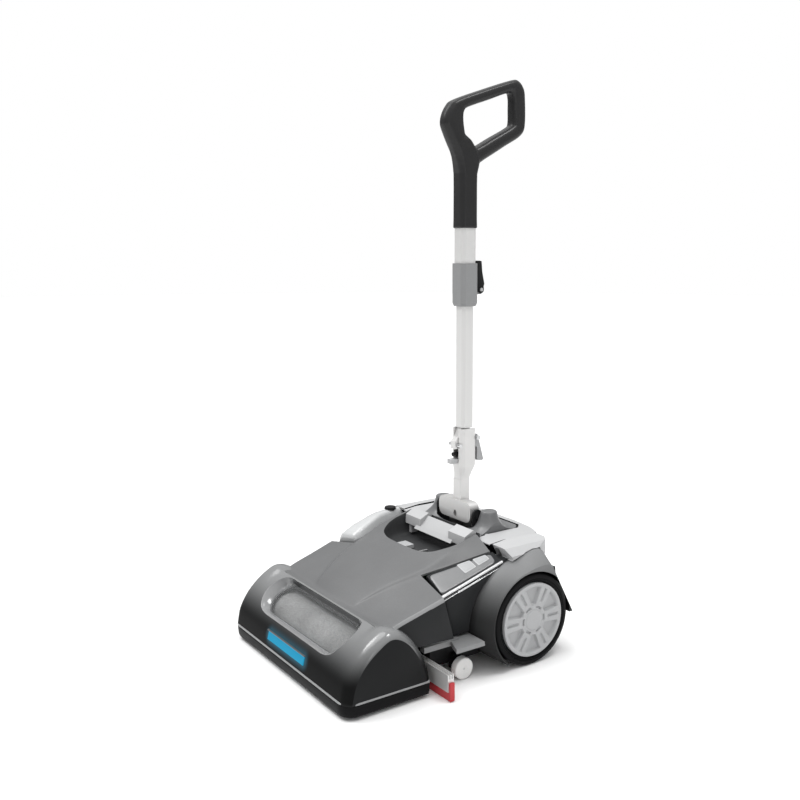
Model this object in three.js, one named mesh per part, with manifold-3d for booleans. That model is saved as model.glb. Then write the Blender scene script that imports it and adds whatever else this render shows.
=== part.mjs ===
// Compact walk-behind floor scrubber with a roller brush in its head, two saddle tanks,
// a squeegee and a folding, telescopic mast.
// Millimetres, +Z up. The front of the machine faces -Y and X = 0 is its middle plane.
// The origin lies on the floor, at the middle of the machine's bounding box.
import * as THREE from 'three';
import { mergeVertices } from 'three/addons/utils/BufferGeometryUtils.js';
import Module from 'manifold-3d';

const wasm = await Module();
wasm.setup();

// ---- Driving dimensions ----------------------------------------------------------------
const GAP = 0.4;                 // clearance between neighbouring pieces
const WALL = 3;                  // moulded shell thickness

const WHEEL = { y: 118, z: 85, radius: 85, rimRadius: 67, inner: 176, outer: 216 };
const AXLE_RADIUS = 8;

const HEAD = { half: 215, front: -268, back: -97, base: 27, centreDrop: 6 };
const SKIRT = { bottom: 6, wall: 7, back: -103, chamfer: 16 };
const BRUSH = { y: -183, z: 48, radius: 48, core: 22, half: 150, shaft: 6 };
const WINDOW = {
  low: { y: -240, z: 74, half: 118 },
  high: { y: -187, z: 116, half: 131 },
  frame: 15,
  rebate: 8,
};
const LIGHT = { half: 68, bottom: 44, top: 58 };

const COVER = { front: -171, back: 76, sideBottom: 80 };
const KEY = { x: 44, y: -2 };
const BOWL = { front: -20, back: 88, half: 104, floor: 172, lipDrop: 1 };
const TANK = { outer: 183, bottom: 74, lean: 32, slope: 0.3, gap: 1.5, fenderGap: 3, back: 78, top: 220 };
const CAP = { x: -159, y: 58, plug: 9, flange: 12.5, seat: 213.2 };
const FENDER = { inner: 172, outer: 220, crown: 108, lip: 91, well: 88, start: 231, end: -3, steps: 26 };
const STEP = { inner: 152, outer: 215, front: -50, back: 30, top: 70, thickness: 8 };
const DECK = { front: 80, rear: 222, top: 214, half: 150, seam: 143 };
const REAR_COVER_HALF = 192;
const HINGE = { y: 116, z: 239, pin: 6, plateHalf: 53, cheek: 55 };
const TOWER = { x: 73, y: 132, bottom: 212, top: 250, radius: 15, foot: 24 };

// Half-widths and heights along the machine, as [y, value] stations.
const SHOULDER_HALF = [[-171, 189], [-110, 193], [-60, 197]];
const SHOULDER_Z = [[-171, 121], [-150, 130], [-60, 158]];
const HOOD_FOOT_HALF = [[-171, 70], [-150, 77], [-50, 117], [76, 146]];
const HOOD_FOOT_Z = [[-171, 123], [-150, 135], [-110, 154], [-50, 173], [76, 200]];
const HOOD_HALF = [[-171, 66], [-150, 75], [-90, 96], [-30, 112], [76, 109]];
const HOOD_Z = [[-171, 123], [-150, 137], [-110, 158], [-50, 179], [76, 221]];
const DOME_Z = [[-66, 166], [-43, 188], [-9, 200], [24, 211], [76, 213]];

const MAST_Y = 128;
const FOLD = { y: 107, z: 368, pin: 4 };
const LATCH = { y: 146, z: 381, pin: 3.5 };
const CLEVIS = { bottom: 297, waist: 328, top: 400, half: 18.5, depth: 20, chamfer: 8, socket: 14.5 };
const LOWER_TUBE = { side: 28, chamfer: 5.4, wall: 2, top: 725 };
const UPPER_TUBE = { side: 34, chamfer: 6.6, wall: 2, bottom: 640, top: 895 };
const COLLAR = { bottom: 636, top: 717, side: 40, chamfer: 7 };
const CLAMP = { y: 157, z: 667, pin: 3.5 };
const GRIP = { bottom: 783, join: 905, half: 19 };

const CHASSIS = { half: 164, front: -70, back: 204, bottom: 24, top: 62 };
const SQUEEGEE = {
  half: 246, front: -91, back: -79, bottom: 17, top: 47, pivotX: 112, pivotY: -12, pivotZ: 40,
};
const ROLLER = { y: -18, z: 19.8, radius: 19.5, inner: 181, outer: 195 };
const BELT = { inner: 154, outer: 166, brushRadius: 24, motorRadius: 12, thickness: 2 };
const MOTOR = { y: -70, z: 96, radius: 28, near: 114, far: 10, shaft: 5 };
const BEARING = { near: 187, far: 208.6, radius: 14 };
const BATTERY = { half: 80, front: -30, back: 96, bottom: 29, top: 112 };
const SUCTION = { x: 62, y: 160, bottom: 98, top: 140, radius: 38, inlet: 18 };
const PUMP = { left: -96, right: -52, front: 134, back: 180, bottom: 66, top: 100, inlet: 9 };
const BOARD = { half: 70, front: -26, back: 60, bottom: 118, thickness: 4 };

const BORE_PLAY = 0.2;           // radial play of a pin in its bore
const BEYOND = 400;              // a length that reaches past every piece, for cutting tools

// ---- Finishes --------------------------------------------------------------------------
const finish = (color, roughness, metalness = 0) => ({ color, roughness, metalness });
const COVER_GREY = finish(0x66686a, 0.45);
const HEAD_GREY = finish(0x3c3d3f, 0.35);
const CHARCOAL = finish(0x333436, 0.5);
const BLACK = finish(0x121213, 0.55);
const LIGHT_GREY = finish(0xc9cacb, 0.45);
const RUBBER = finish(0x0d0d0e, 0.85);
const HUB_GREY = finish(0xb4b5b6, 0.45);
const SILVER = finish(0xd2d2d2, 0.3, 0.8);
const STEEL = finish(0xb9babc, 0.3, 0.9);
const GRIP_BLACK = finish(0x1b1c1d, 0.3);
const BLUE = finish(0x0fa0dc, 0.3);
const CLEAR = finish(0xdfe6e8, 0.1);
const WHITE = finish(0xf0f0ee, 0.5);
const RED = finish(0xb3121d, 0.5);
const FIBRE = finish(0xa6a7a6, 0.95);
const BOARD_GREEN = finish(0x1f6b3c, 0.6);

// ---- Solid helpers ---------------------------------------------------------------------
const model = new THREE.Group();

/** Turn a closed three.js geometry into a solid that can be joined and cut. */
function toSolid(geometry) {
  const bare = geometry.clone();
  bare.deleteAttribute('normal');
  bare.deleteAttribute('uv');
  const merged = mergeVertices(bare, 1e-3);
  const vertProperties = new Float32Array(merged.attributes.position.array);
  const triVerts = new Uint32Array(merged.index.array);
  return new wasm.Manifold(new wasm.Mesh({ numProp: 3, vertProperties, triVerts }));
}

/** Turn a solid back into a three.js geometry. */
function toGeometry(solid) {
  const mesh = solid.getMesh();
  const geometry = new THREE.BufferGeometry();
  geometry.setAttribute('position', new THREE.BufferAttribute(mesh.vertProperties, 3));
  geometry.setIndex(new THREE.BufferAttribute(mesh.triVerts, 1));
  geometry.computeVertexNormals();
  return geometry;
}

/** Add one named piece to the model. */
function addPiece(name, solid, look) {
  const mesh = new THREE.Mesh(toGeometry(solid), new THREE.MeshStandardMaterial(look));
  mesh.name = name;
  model.add(mesh);
}

const AXES = {
  x: [new THREE.Vector3(0, 1, 0), new THREE.Vector3(0, 0, 1), new THREE.Vector3(1, 0, 0)],
  y: [new THREE.Vector3(0, 0, 1), new THREE.Vector3(1, 0, 0), new THREE.Vector3(0, 1, 0)],
  z: [new THREE.Vector3(1, 0, 0), new THREE.Vector3(0, 1, 0), new THREE.Vector3(0, 0, 1)],
};

/** Lay a geometry drawn on local XY and extruded along local Z along a world axis. */
function along(axis, geometry) {
  return geometry.applyMatrix4(new THREE.Matrix4().makeBasis(...AXES[axis]));
}

function outline(points) {
  return new THREE.Shape(points.map(([u, v]) => new THREE.Vector2(u, v)));
}

/** Extrude an outline along an axis. Outlines are (y, z) for x, (z, x) for y, (x, y) for z. */
function prism(axis, points, from, to) {
  const low = Math.min(from, to);
  const depth = Math.abs(to - from);
  const shape = points instanceof THREE.Shape ? points : outline(points);
  const options = { depth, bevelEnabled: false, curveSegments: 6 };
  const geometry = new THREE.ExtrudeGeometry(shape, options);
  return toSolid(along(axis, geometry.translate(0, 0, low)));
}

function box(x0, x1, y0, y1, z0, z1) {
  const geometry = new THREE.BoxGeometry(Math.abs(x1 - x0), Math.abs(y1 - y0), Math.abs(z1 - z0));
  return toSolid(geometry.translate((x0 + x1) / 2, (y0 + y1) / 2, (z0 + z1) / 2));
}

/** A round bar along X, centred on (y, z). */
function bar(radius, from, to, y, z, segments = 24) {
  const geometry = new THREE.CylinderGeometry(radius, radius, Math.abs(to - from), segments);
  return toSolid(geometry.rotateZ(Math.PI / 2).translate((from + to) / 2, y, z));
}

/** A round bar along Y, centred on (x, z). */
function barY(radius, from, to, x, z, segments = 16) {
  const geometry = new THREE.CylinderGeometry(radius, radius, Math.abs(to - from), segments);
  return toSolid(geometry.translate(x, (from + to) / 2, z));
}

/** A cone or cylinder standing on Z. */
function post(lowRadius, highRadius, z0, z1, x, y, segments = 24) {
  const geometry = new THREE.CylinderGeometry(highRadius, lowRadius, z1 - z0, segments);
  return toSolid(geometry.rotateX(Math.PI / 2).translate(x, y, (z0 + z1) / 2));
}

/** Revolve (radius, x) points about an X axis through (y, z), on one side of the machine. */
function turned(points, y, z, side = 1, segments = 40) {
  const profile = points.map(([radius, x]) => new THREE.Vector2(radius, side * x));
  const geometry = new THREE.LatheGeometry(profile, segments);
  return fixWinding(geometry.rotateZ(-Math.PI / 2).translate(0, y, z));
}

/** Make a solid of a closed geometry, whichever way its faces are wound. */
function fixWinding(geometry) {
  const bare = geometry.index ? geometry : mergeVertices(geometry);
  const position = bare.attributes.position;
  const index = bare.index;
  const corner = [new THREE.Vector3(), new THREE.Vector3(), new THREE.Vector3()];
  let volume = 0;
  for (let i = 0; i < index.count; i += 3) {
    corner.forEach((point, k) => point.fromBufferAttribute(position, index.getX(i + k)));
    volume += corner[0].dot(corner[1].clone().cross(corner[2]));
  }
  if (volume < 0) {
    for (let i = 0; i < index.count; i += 3) {
      const second = index.getX(i + 1);
      index.setX(i + 1, index.getX(i + 2));
      index.setX(i + 2, second);
    }
  }
  return toSolid(bare);
}

/** Skin closed sections, each { at, points }, placed along an axis, with flat ends. */
function loft(axis, sections) {
  const count = sections[0].points.length;
  const positions = sections.flatMap(({ at, points }) => points.flatMap(([u, v]) => [u, v, at]));
  const indices = [];
  for (let s = 0; s < sections.length - 1; s += 1) {
    for (let i = 0; i < count; i += 1) {
      const a = s * count + i;
      const b = s * count + ((i + 1) % count);
      indices.push(a, b, b + count, a, b + count, a + count);
    }
  }
  const cap = (section, flip) => {
    const ring = sections[section].points.map(([u, v]) => new THREE.Vector2(u, v));
    THREE.ShapeUtils.triangulateShape(ring, []).forEach(([a, b, c]) => {
      const face = flip ? [a, c, b] : [a, b, c];
      indices.push(...face.map((i) => i + section * count));
    });
  };
  const ringArea = THREE.ShapeUtils.area(sections[0].points.map(([x, y]) => ({ x, y })));
  const turnsLeft = ringArea > 0;
  cap(0, turnsLeft);
  cap(sections.length - 1, !turnsLeft);
  const geometry = new THREE.BufferGeometry();
  geometry.setAttribute('position', new THREE.Float32BufferAttribute(positions, 3));
  geometry.setIndex(indices);
  return fixWinding(along(axis, geometry));
}

/** A smooth open curve through (u, v) points, as a list of points. */
function smooth(points, steps) {
  const curve = new THREE.SplineCurve(points.map(([u, v]) => new THREE.Vector2(u, v)));
  return curve.getSpacedPoints(steps).map((point) => [point.x, point.y]);
}

/** An arc of a circle on (u, v), angles in degrees. */
function arc(u, v, radius, from, to, steps) {
  return Array.from({ length: steps + 1 }, (_, i) => {
    const angle = THREE.MathUtils.degToRad(from + ((to - from) * i) / steps);
    return [u + radius * Math.cos(angle), v + radius * Math.sin(angle)];
  });
}

/** A rectangle with cut corners. */
function octagon(u, v, halfU, halfV, cut) {
  return [
    [u - halfU + cut, v - halfV], [u + halfU - cut, v - halfV],
    [u + halfU, v - halfV + cut], [u + halfU, v + halfV - cut],
    [u + halfU - cut, v + halfV], [u - halfU + cut, v + halfV],
    [u - halfU, v + halfV - cut], [u - halfU, v - halfV + cut],
  ];
}

const SIDES = [['left', -1], ['right', 1]];
const lerp = THREE.MathUtils.lerp;

/** Read a value off (station, value) pairs by straight lines, which carry on past both ends. */
function valueAt(pairs, y) {
  const last = pairs.length - 2;
  const beyond = pairs.findIndex(([station]) => station > y);
  const i = beyond === -1 ? last : Math.min(last, Math.max(0, beyond - 1));
  const [y0, v0] = pairs[i];
  const [y1, v1] = pairs[i + 1];
  return lerp(v0, v1, (y - y0) / (y1 - y0));
}

/** Join a list of solids into one. */
function join(solids) {
  return solids.reduce((sum, solid) => sum.add(solid));
}

/** Reflect an outline whose second coordinate is X, and run it backwards. */
function mirrored(points) {
  return points.map(([u, x]) => [u, -x]).reverse();
}

// ---- Head: a drum-like housing over the brush, with an inspection window ------------------
/** The drum's side profile, drawn in from its outer surface and lowered at its crown. */
function headProfile(inset, drop, floor) {
  const crown = [
    [HEAD.front + inset, HEAD.base],
    [-260 + inset, 60 - inset * 0.3],
    [-240 + inset * 0.7, 92 - inset * 0.7],
    [-209 + inset * 0.4, 119 - inset - drop * 0.6],
    [-177, 131 - inset - drop],
    [-140 - inset * 0.6, 113 - inset * 0.8 - drop * 0.6],
    [-109 - inset, 68 - inset * 0.3],
    [HEAD.back - inset, HEAD.base],
  ];
  return [...smooth(crown, 22), [HEAD.back - inset, floor], [HEAD.front + inset, floor]];
}

/** The outline of the window on its slanting plane, grown by a margin. */
function windowOutline(grow) {
  const rise = WINDOW.high.z - WINDOW.low.z;
  const length = Math.hypot(WINDOW.high.y - WINDOW.low.y, rise) + 2 * grow;
  const low = WINDOW.low.half + grow;
  const high = WINDOW.high.half + grow;
  const bulge = 12;
  const right = [
    [low, 0], [low + bulge * 0.8, length * 0.15], [low + bulge * 1.6, length * 0.4],
    [high + bulge, length * 0.7], [high + bulge * 0.5, length * 0.92], [high, length],
  ];
  return [...right, ...right.map(([x, up]) => [-x, up]).reverse()];
}

/** A slab on the window's plane, between two heights above it. */
function windowSlab(grow, above, below) {
  const slope = Math.atan2(WINDOW.high.z - WINDOW.low.z, WINDOW.high.y - WINDOW.low.y);
  const options = { depth: above - below, bevelEnabled: false };
  const geometry = new THREE.ExtrudeGeometry(outline(windowOutline(grow)), options);
  geometry.translate(0, -grow, below).rotateX(slope).translate(0, WINDOW.low.y, WINDOW.low.z);
  return toSolid(geometry);
}

/** The drum as a solid: full at its ears, a little lower between them, rounded at its ends. */
function headBody(grow, floor) {
  const right = [[160, 0, HEAD.centreDrop], [184, 0, 0], [206, 0, 0], [212, 4, 0], [HEAD.half, 10, 0]];
  const left = right.map(([x, inset, drop]) => [-x, inset, drop]).reverse();
  const section = ([x, inset, drop]) => ({ at: x, points: headProfile(inset - grow, drop, floor) });
  return loft('x', [...left, ...right].map(section));
}

function buildHead() {
  const inner = (at) => ({ at, points: headProfile(WALL + HEAD.centreDrop, 0, HEAD.base - 5) });
  const hollow = loft('x', [inner(-HEAD.half + 2 * WALL), inner(HEAD.half - 2 * WALL)]);
  const beltSlot = box(-BELT.outer - 4, -BELT.inner + 4, -145, -90, 48, 108);
  const lightSlot = box(-LIGHT.half - 4, LIGHT.half + 4, HEAD.front - 5, HEAD.front + 40, 42, 60);
  const sunk = windowSlab(WINDOW.rebate, 40, -1);
  const hole = windowSlab(0, 40, -40);

  const outer = headBody(0, HEAD.base);
  const frame = windowSlab(WINDOW.frame, 4, -6).intersect(outer);
  const housing = outer
    .subtract(hollow)
    .add(frame)
    .subtract(join([hole, sunk, beltSlot, lightSlot]));
  addPiece('head_housing', housing, HEAD_GREY);
  addPiece('window_pane', windowSlab(WINDOW.rebate - GAP, 1.2, GAP - 1), CLEAR);

  const skirtOutline = (inset) => {
    const right = [
      [HEAD.half - SKIRT.chamfer, HEAD.front + inset],
      [HEAD.half - inset, HEAD.front + SKIRT.chamfer],
      [HEAD.half - inset, SKIRT.back - inset],
    ];
    return [...right, ...right.map(([x, y]) => [-x, y]).reverse()];
  };
  const skirt = prism('z', skirtOutline(0), SKIRT.bottom, HEAD.base - GAP)
    .subtract(prism('z', skirtOutline(SKIRT.wall), 0, 50));
  addPiece('bumper_skirt', skirt, BLACK);

  const lens = [
    [HEAD.front + 2, LIGHT.bottom],
    [HEAD.front + 5.5, LIGHT.top],
    [HEAD.front + 13, LIGHT.top],
    [HEAD.front + 10, LIGHT.bottom],
  ];
  addPiece('led_lens', prism('x', lens, -LIGHT.half, LIGHT.half), BLUE);
}

// ---- Cover: a wide shoulder with a raised hood running back to the mast ------------------
/** The front edge of a tank at a distance from the middle: it leans forward as it rises. */
function tankFront(x, z) {
  const sweep = 0.17 * (200 - Math.abs(x));
  return -38 + sweep - (TANK.lean * (z - TANK.bottom)) / 111;
}

/** A block that takes in all that lies behind the tanks' front edge, moved forward by an inset. */
function seamCutter(inset) {
  const low = 20;
  const high = 240;
  const section = (x) => ({
    at: x,
    points: [[tankFront(x, low) - inset, low], [tankFront(x, high) - inset, high], [200, high], [200, low]],
  });
  return loft('x', [-230, 0, 230].map(section));
}

/** The cover's outer body, shrunk by a wall thickness. */
function coverBody(inset, low) {
  const shoulderSection = (y) => {
    const half = valueAt(SHOULDER_HALF, y) - inset;
    const edge = valueAt(SHOULDER_Z, y) - inset;
    const foot = valueAt(HOOD_FOOT_HALF, y);
    const footZ = valueAt(HOOD_FOOT_Z, y) - inset;
    const right = [[low, half - 6], [edge - 12, half], [edge, half - 7], [footZ, foot]];
    return { at: y, points: [...right, ...mirrored(right)] };
  };
  const hoodSection = (y) => {
    const foot = valueAt(HOOD_FOOT_HALF, y) - inset;
    const footZ = valueAt(HOOD_FOOT_Z, y) - inset;
    const half = valueAt(HOOD_HALF, y) - inset;
    const edge = valueAt(HOOD_Z, y) - inset;
    const right = [
      [Math.min(low + 62, footZ - 5), foot - 1], [footZ, foot], [edge, half], [edge + 4, half * 0.5],
    ];
    return { at: y, points: [...right, [edge + 5, 0], ...mirrored(right)] };
  };
  const shoulderStations = [COVER.front + inset, -150, -110, -60, -30];
  const hoodStations = [COVER.front + inset, -150, -110, -90, -50, -30, 10, COVER.back - inset];
  const shoulder = loft('y', shoulderStations.map(shoulderSection)).subtract(seamCutter(TANK.gap + inset));
  return shoulder.add(loft('y', hoodStations.map(hoodSection)));
}

/** The half-moon outline of the hand recess, drawn in by an inset. */
function bowlOutline(inset) {
  const half = BOWL.half - inset;
  const front = BOWL.front + inset;
  const right = [[half, 34], [half - 8, 12], [half - 30, -10], [30, front]];
  const left = right.map(([x, y]) => [-x, y]).reverse();
  return [...smooth([...right, ...left], 20), [-half, BOWL.back - inset], [half, BOWL.back - inset]];
}

/** A bar across the recess, with a block at each end and a leg under each block. */
function buildCarryHandle() {
  const bridge = [[50, 197], [57, 205], [74, 222], [80, 219], [66, 197]];
  const block = [[55, 199], [56, 217], [76, 227], [83, 222], [74, 199]];
  const legHeight = [BOWL.floor + 8.5, 204];
  const ends = SIDES.map(([, side]) => prism('x', block, side * 46, side * 97)
    .add(box(side * 84, side * 91.5, 60, 82, ...legHeight)));
  return join([prism('x', bridge, -60, 60), ...ends]);
}

function buildCover() {
  const motorRoom = box(-TANK.outer, TANK.outer, -80, -20, 50, 124);
  const shell = coverBody(0, COVER.sideBottom)
    .subtract(coverBody(WALL, COVER.sideBottom - 90))
    .subtract(prism('z', bowlOutline(0), 100, BEYOND))
    .subtract(headBody(GAP, HEAD.base - 5))
    .subtract(motorRoom);
  addPiece('top_cover', shell, COVER_GREY);

  const under = coverBody(BOWL.lipDrop, 40);
  const rearOpening = box(-92, 92, 70, 100, BOWL.floor + 8, 260);
  const bowl = prism('z', bowlOutline(GAP), BOWL.floor - WALL, 240)
    .intersect(under)
    .subtract(prism('z', bowlOutline(WALL), BOWL.floor, BEYOND))
    .subtract(rearOpening);
  addPiece('recess_bowl', bowl, CHARCOAL);
  addPiece('carry_handle', buildCarryHandle(), LIGHT_GREY);

  const floor = BOWL.floor + GAP;
  addPiece('start_button', box(-42, -13, -12, 18, floor + 3, floor + 10), HUB_GREY);
  const keyPlate = post(9, 9, floor, floor + 5, KEY.x, KEY.y, 20);
  const keyBow = box(KEY.x - 1.8, KEY.x + 1.8, KEY.y - 9, KEY.y + 11, floor + 5, floor + 17);
  addPiece('key_switch', keyPlate.add(keyBow), STEEL);
}

// ---- Saddle tanks: they hang between the cover and the fenders ---------------------------
/** The tank's side profile at x: a leaning front edge and a back edge that follows the fender. */
function tankProfile(x, inset) {
  const clear = FENDER.crown + TANK.fenderGap + inset;
  const low = TANK.bottom + inset;
  return [
    [tankFront(x, low) + inset, low],
    [tankFront(x, TANK.top) + inset, TANK.top],
    [TANK.back - inset, TANK.top],
    ...arc(WHEEL.y, WHEEL.z, clear, 104 + inset, 180, 10),
    [WHEEL.y - clear, low],
  ];
}

/** A tank's cross-section at y: the right one slopes outward, the left one rises to a dome. */
function tankSection(y, side, inset, drop) {
  const inner = valueAt(HOOD_FOOT_HALF, y) + TANK.gap + inset;
  const outer = TANK.outer - inset;
  const low = TANK.bottom + inset;
  const crest = valueAt(HOOD_FOOT_Z, y) - 1 - inset - drop;
  const slopeEdge = crest - TANK.slope * (TANK.outer - inner);
  const dome = valueAt(DOME_Z, y) - inset;
  const right = [[slopeEdge - 14, outer], [slopeEdge, outer - 3], [crest, inner]];
  const left = [
    [dome - 40, outer], [dome - 16, outer - 5], [dome, outer - 17], [dome, inner + 6], [crest, inner],
  ];
  const points = [[low, inner], [low, outer - 9], ...(side > 0 ? right : left)];
  return { at: y, points: points.map(([z, x]) => [z, side * x]) };
}

function tankBody(side, inset, drop = 0) {
  const profiles = [side * 100, side * 200].map((x) => ({ at: x, points: tankProfile(x, inset) }));
  const stations = [-90, ...DOME_Z.map(([y]) => y), 100];
  const sections = stations.map((y) => tankSection(y, side, inset, drop));
  return loft('x', profiles).intersect(loft('y', sections));
}

/** The label plate's outline on top of the right tank, grown a little. */
function labelPlan(grow) {
  const inner = (y) => valueAt(HOOD_FOOT_HALF, y) + TANK.gap + 4 - grow;
  const front = -44 - grow;
  const rear = 64 + grow;
  return [[inner(front), front], [176 + grow, front], [176 + grow, rear], [inner(rear), rear]];
}

function hollowTank(side) {
  const port = bar(11, side * 100, side * 140, -5, 120, 20);
  return tankBody(side, 0).subtract(tankBody(side, WALL)).subtract(port);
}

function buildTanks() {
  const { x, y, plug, flange, seat } = CAP;
  const neck = post(plug + GAP, plug + GAP, 180, 240, x, y, 20);
  addPiece('clean_tank', hollowTank(-1).subtract(neck), WHITE);
  const stopper = post(plug, plug, seat - 12, seat + 1, x, y, 20);
  addPiece('clean_tank_cap', stopper.add(post(flange, flange - 1.5, seat, seat + 4, x, y, 24)), BLACK);

  const skin = (grow) => tankBody(1, 0, -10 * grow)
    .subtract(tankBody(1, 0, 1.2 + grow))
    .intersect(prism('z', labelPlan(grow), 140, 230));
  addPiece('recovery_tank', hollowTank(1).subtract(skin(GAP)), CHARCOAL);
  addPiece('tank_label_plate', skin(0), HUB_GREY);
}

// ---- Fenders, steps, rear deck -----------------------------------------------------------
/** A ring sector round the wheel: thin at the lip, full at the crown, straight down behind. */
function fenderProfile(blend, wellRadius) {
  const outer = Array.from({ length: FENDER.steps + 1 }, (_, i) => {
    const degrees = lerp(FENDER.start, FENDER.end, i / FENDER.steps);
    const angle = THREE.MathUtils.degToRad(degrees);
    const low = Math.min(1, Math.max(0, (degrees - 190) / 41));
    const rear = Math.min(1, Math.max(0, (100 - degrees) / 30));
    const rearLine = 95.5 / Math.max(0.2, Math.cos(angle - THREE.MathUtils.degToRad(29.3)));
    const full = lerp(lerp(FENDER.crown, 92, low), Math.min(124, rearLine), rear);
    const thin = Math.max(FENDER.lip, lerp(FENDER.lip, full, rear * 0.35));
    const radius = lerp(full, thin, blend);
    return [WHEEL.y + radius * Math.cos(angle), WHEEL.z + radius * Math.sin(angle)];
  });
  return [...outer, ...arc(WHEEL.y, WHEEL.z, wellRadius, FENDER.end, FENDER.start, 24)];
}

/** The fender's outer outline as a closed shape, grown a little. */
function fenderOutline(grow) {
  const outer = fenderProfile(0, FENDER.well).slice(0, FENDER.steps + 1);
  const scale = 1 + grow / FENDER.crown;
  return outer.map(([y, z]) => [WHEEL.y + (y - WHEEL.y) * scale, WHEEL.z + (z - WHEEL.z) * scale]);
}

function buildFender(name, side) {
  const ring = (x, blend) => ({ at: side * x, points: fenderProfile(blend, FENDER.well) });
  const flange = loft('x', [ring(FENDER.inner, 0), ring(190, 0), ring(208, 0.45), ring(FENDER.outer, 1)]);
  const wall = prism('x', fenderOutline(0), side * (FENDER.inner - 4), side * FENDER.inner)
    .subtract(bar(14, side * 160, side * 180, WHEEL.y, WHEEL.z));
  addPiece(`fender_${name}`, flange.add(wall), CHARCOAL);
}

/** A flat tread ahead of the wheel, with a strip that runs forward to the head. */
function buildStep(name, side) {
  const plan = [
    [side * STEP.inner, STEP.front + 24], [side * STEP.outer, STEP.front],
    [side * STEP.outer, STEP.back], [side * STEP.inner, STEP.back + 2],
  ];
  const tread = prism('z', plan, STEP.top - STEP.thickness, STEP.top)
    .subtract(bar(FENDER.well + 20.5, side * 100, side * 230, WHEEL.y, WHEEL.z, 48))
    .subtract(bar(FENDER.crown + 1, side * (FENDER.inner - 6), side * 230, WHEEL.y, WHEEL.z, 48));
  const strip = box(side * 170, side * 182, -94, STEP.front + 30, STEP.top - STEP.thickness, STEP.top + 2);
  addPiece(`side_step_${name}`, tread.add(strip), CHARCOAL);
}

/** The rear body's outline seen from above, drawn in by an inset. */
function deckPlan(inset, half) {
  const front = 60;
  const rear = DECK.rear - inset;
  const edge = half - inset;
  const right = [
    [edge, front], [edge, rear - 44], [half * 0.93, rear - 28], [half * 0.67, rear - 10], [half * 0.3, rear],
  ];
  return [...right, ...right.map(([x, y]) => [-x, y]).reverse()];
}

/** The rim of the opening in the deck that takes the hinge cover, drawn in by an inset. */
function wellOutline(inset) {
  return octagon(0, 148, 97 - inset, 50 - inset, 14);
}

function buildRearDeck() {
  const { front, top, half, seam } = DECK;
  const side = [
    [front, 196], [front, 211], [110, top], [200, top], [226, 208], [226, 150], [150, 150], [front, 190],
  ];
  const inside = [
    [front - 5, 100], [front - 5, 208], [110, top - WALL], [199, top - WALL], [222, 205], [222, 100],
  ];
  const hollow = prism('x', inside, -seam - 5, seam + 5)
    .intersect(prism('z', deckPlan(WALL, half), 0, BEYOND));
  const deck = prism('x', side, -seam, seam)
    .intersect(prism('z', deckPlan(0, half), 0, BEYOND))
    .subtract(hollow)
    .subtract(prism('z', wellOutline(0), 100, BEYOND));
  addPiece('rear_deck', deck, LIGHT_GREY);
}

/** A cover beside the deck: it slopes off outward and sits over the fender. */
function buildRearCover(name, side) {
  const near = side * (DECK.seam + GAP);
  const far = side * REAR_COVER_HALF;
  const profile = [[81, 206], [84, 212], [120, 216], [185, 216], [205, 205], [212, 186], [98, 178]];
  const slope = [[150, 0], [150, far], [199, far], [211, side * 178], [216, side * 150], [216, 0]];
  const under = [[70, 150], [86, 206], [120, 213], [184, 213], [201, 203], [209, 150]];
  const cover = prism('x', profile, near, far)
    .intersect(prism('y', slope, 60, 240))
    .intersect(prism('z', deckPlan(0, REAR_COVER_HALF), 0, BEYOND))
    .subtract(prism('x', fenderOutline(1.2), side * 163, side * 230))
    .subtract(prism('x', tankProfile(TANK.outer, -1), near - side, side * 230))
    .subtract(prism('x', under, near + side * WALL, side * 160));
  addPiece(`rear_cover_${name}`, cover, LIGHT_GREY);
}

/** The plate in the deck's opening, with a tapering tower on each side of the mast. */
function buildHingeCover() {
  const slotHalf = HINGE.cheek + 6;
  const plate = prism('z', wellOutline(GAP), TOWER.bottom - 5, TOWER.bottom);
  const towers = SIDES.map(([, side]) => (
    post(TOWER.foot, TOWER.radius, TOWER.bottom - 1, TOWER.top, side * TOWER.x, TOWER.y)));
  const slot = box(-slotHalf, slotHalf, 104, 152, 190, BEYOND);
  addPiece('hinge_cover', join([plate, ...towers]).subtract(slot), CHARCOAL);
}

/** Two cheeks on a base plate carry the pin on which the mast tilts. */
function buildHingeBracket() {
  const { y, z, pin, cheek } = HINGE;
  const base = 158;
  const thickness = 4;
  const front = y - 11.5;
  const cheekOutline = [
    [front, base], [front, z - 3], ...arc(y, z, 12, 180, 0, 8), [y + 18, 200], [y + 18, base],
  ];
  const cheeks = SIDES.map(([, side]) => prism('x', cheekOutline, side * cheek, side * (cheek + thickness)));
  const foot = box(-cheek - thickness, cheek + thickness, front, 151, base - 4, base);
  const bore = bar(pin + BORE_PLAY, -70, 70, y, z);
  addPiece('hinge_bracket', join([foot, ...cheeks]).subtract(bore), BLACK);
  addPiece('hinge_pin', bar(pin, -cheek - 5.5, cheek + 5.5, y, z), STEEL);
}

function buildRear() {
  buildRearDeck();
  const panel = [[150, 62], [206, 62], [225, 92], [219, 149], [206, 149], [150, 149]];
  const behind = [[100, 50], [200, 50], [218, 92], [212, 155], [100, 155]];
  const back = prism('x', panel, -166, 166).subtract(prism('x', behind, -163, 163));
  addPiece('rear_panel', back, CHARCOAL);
  SIDES.forEach(([name, side]) => {
    buildFender(name, side);
    buildStep(name, side);
    buildRearCover(name, side);
  });
  buildHingeCover();
  buildHingeBracket();
}

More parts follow.
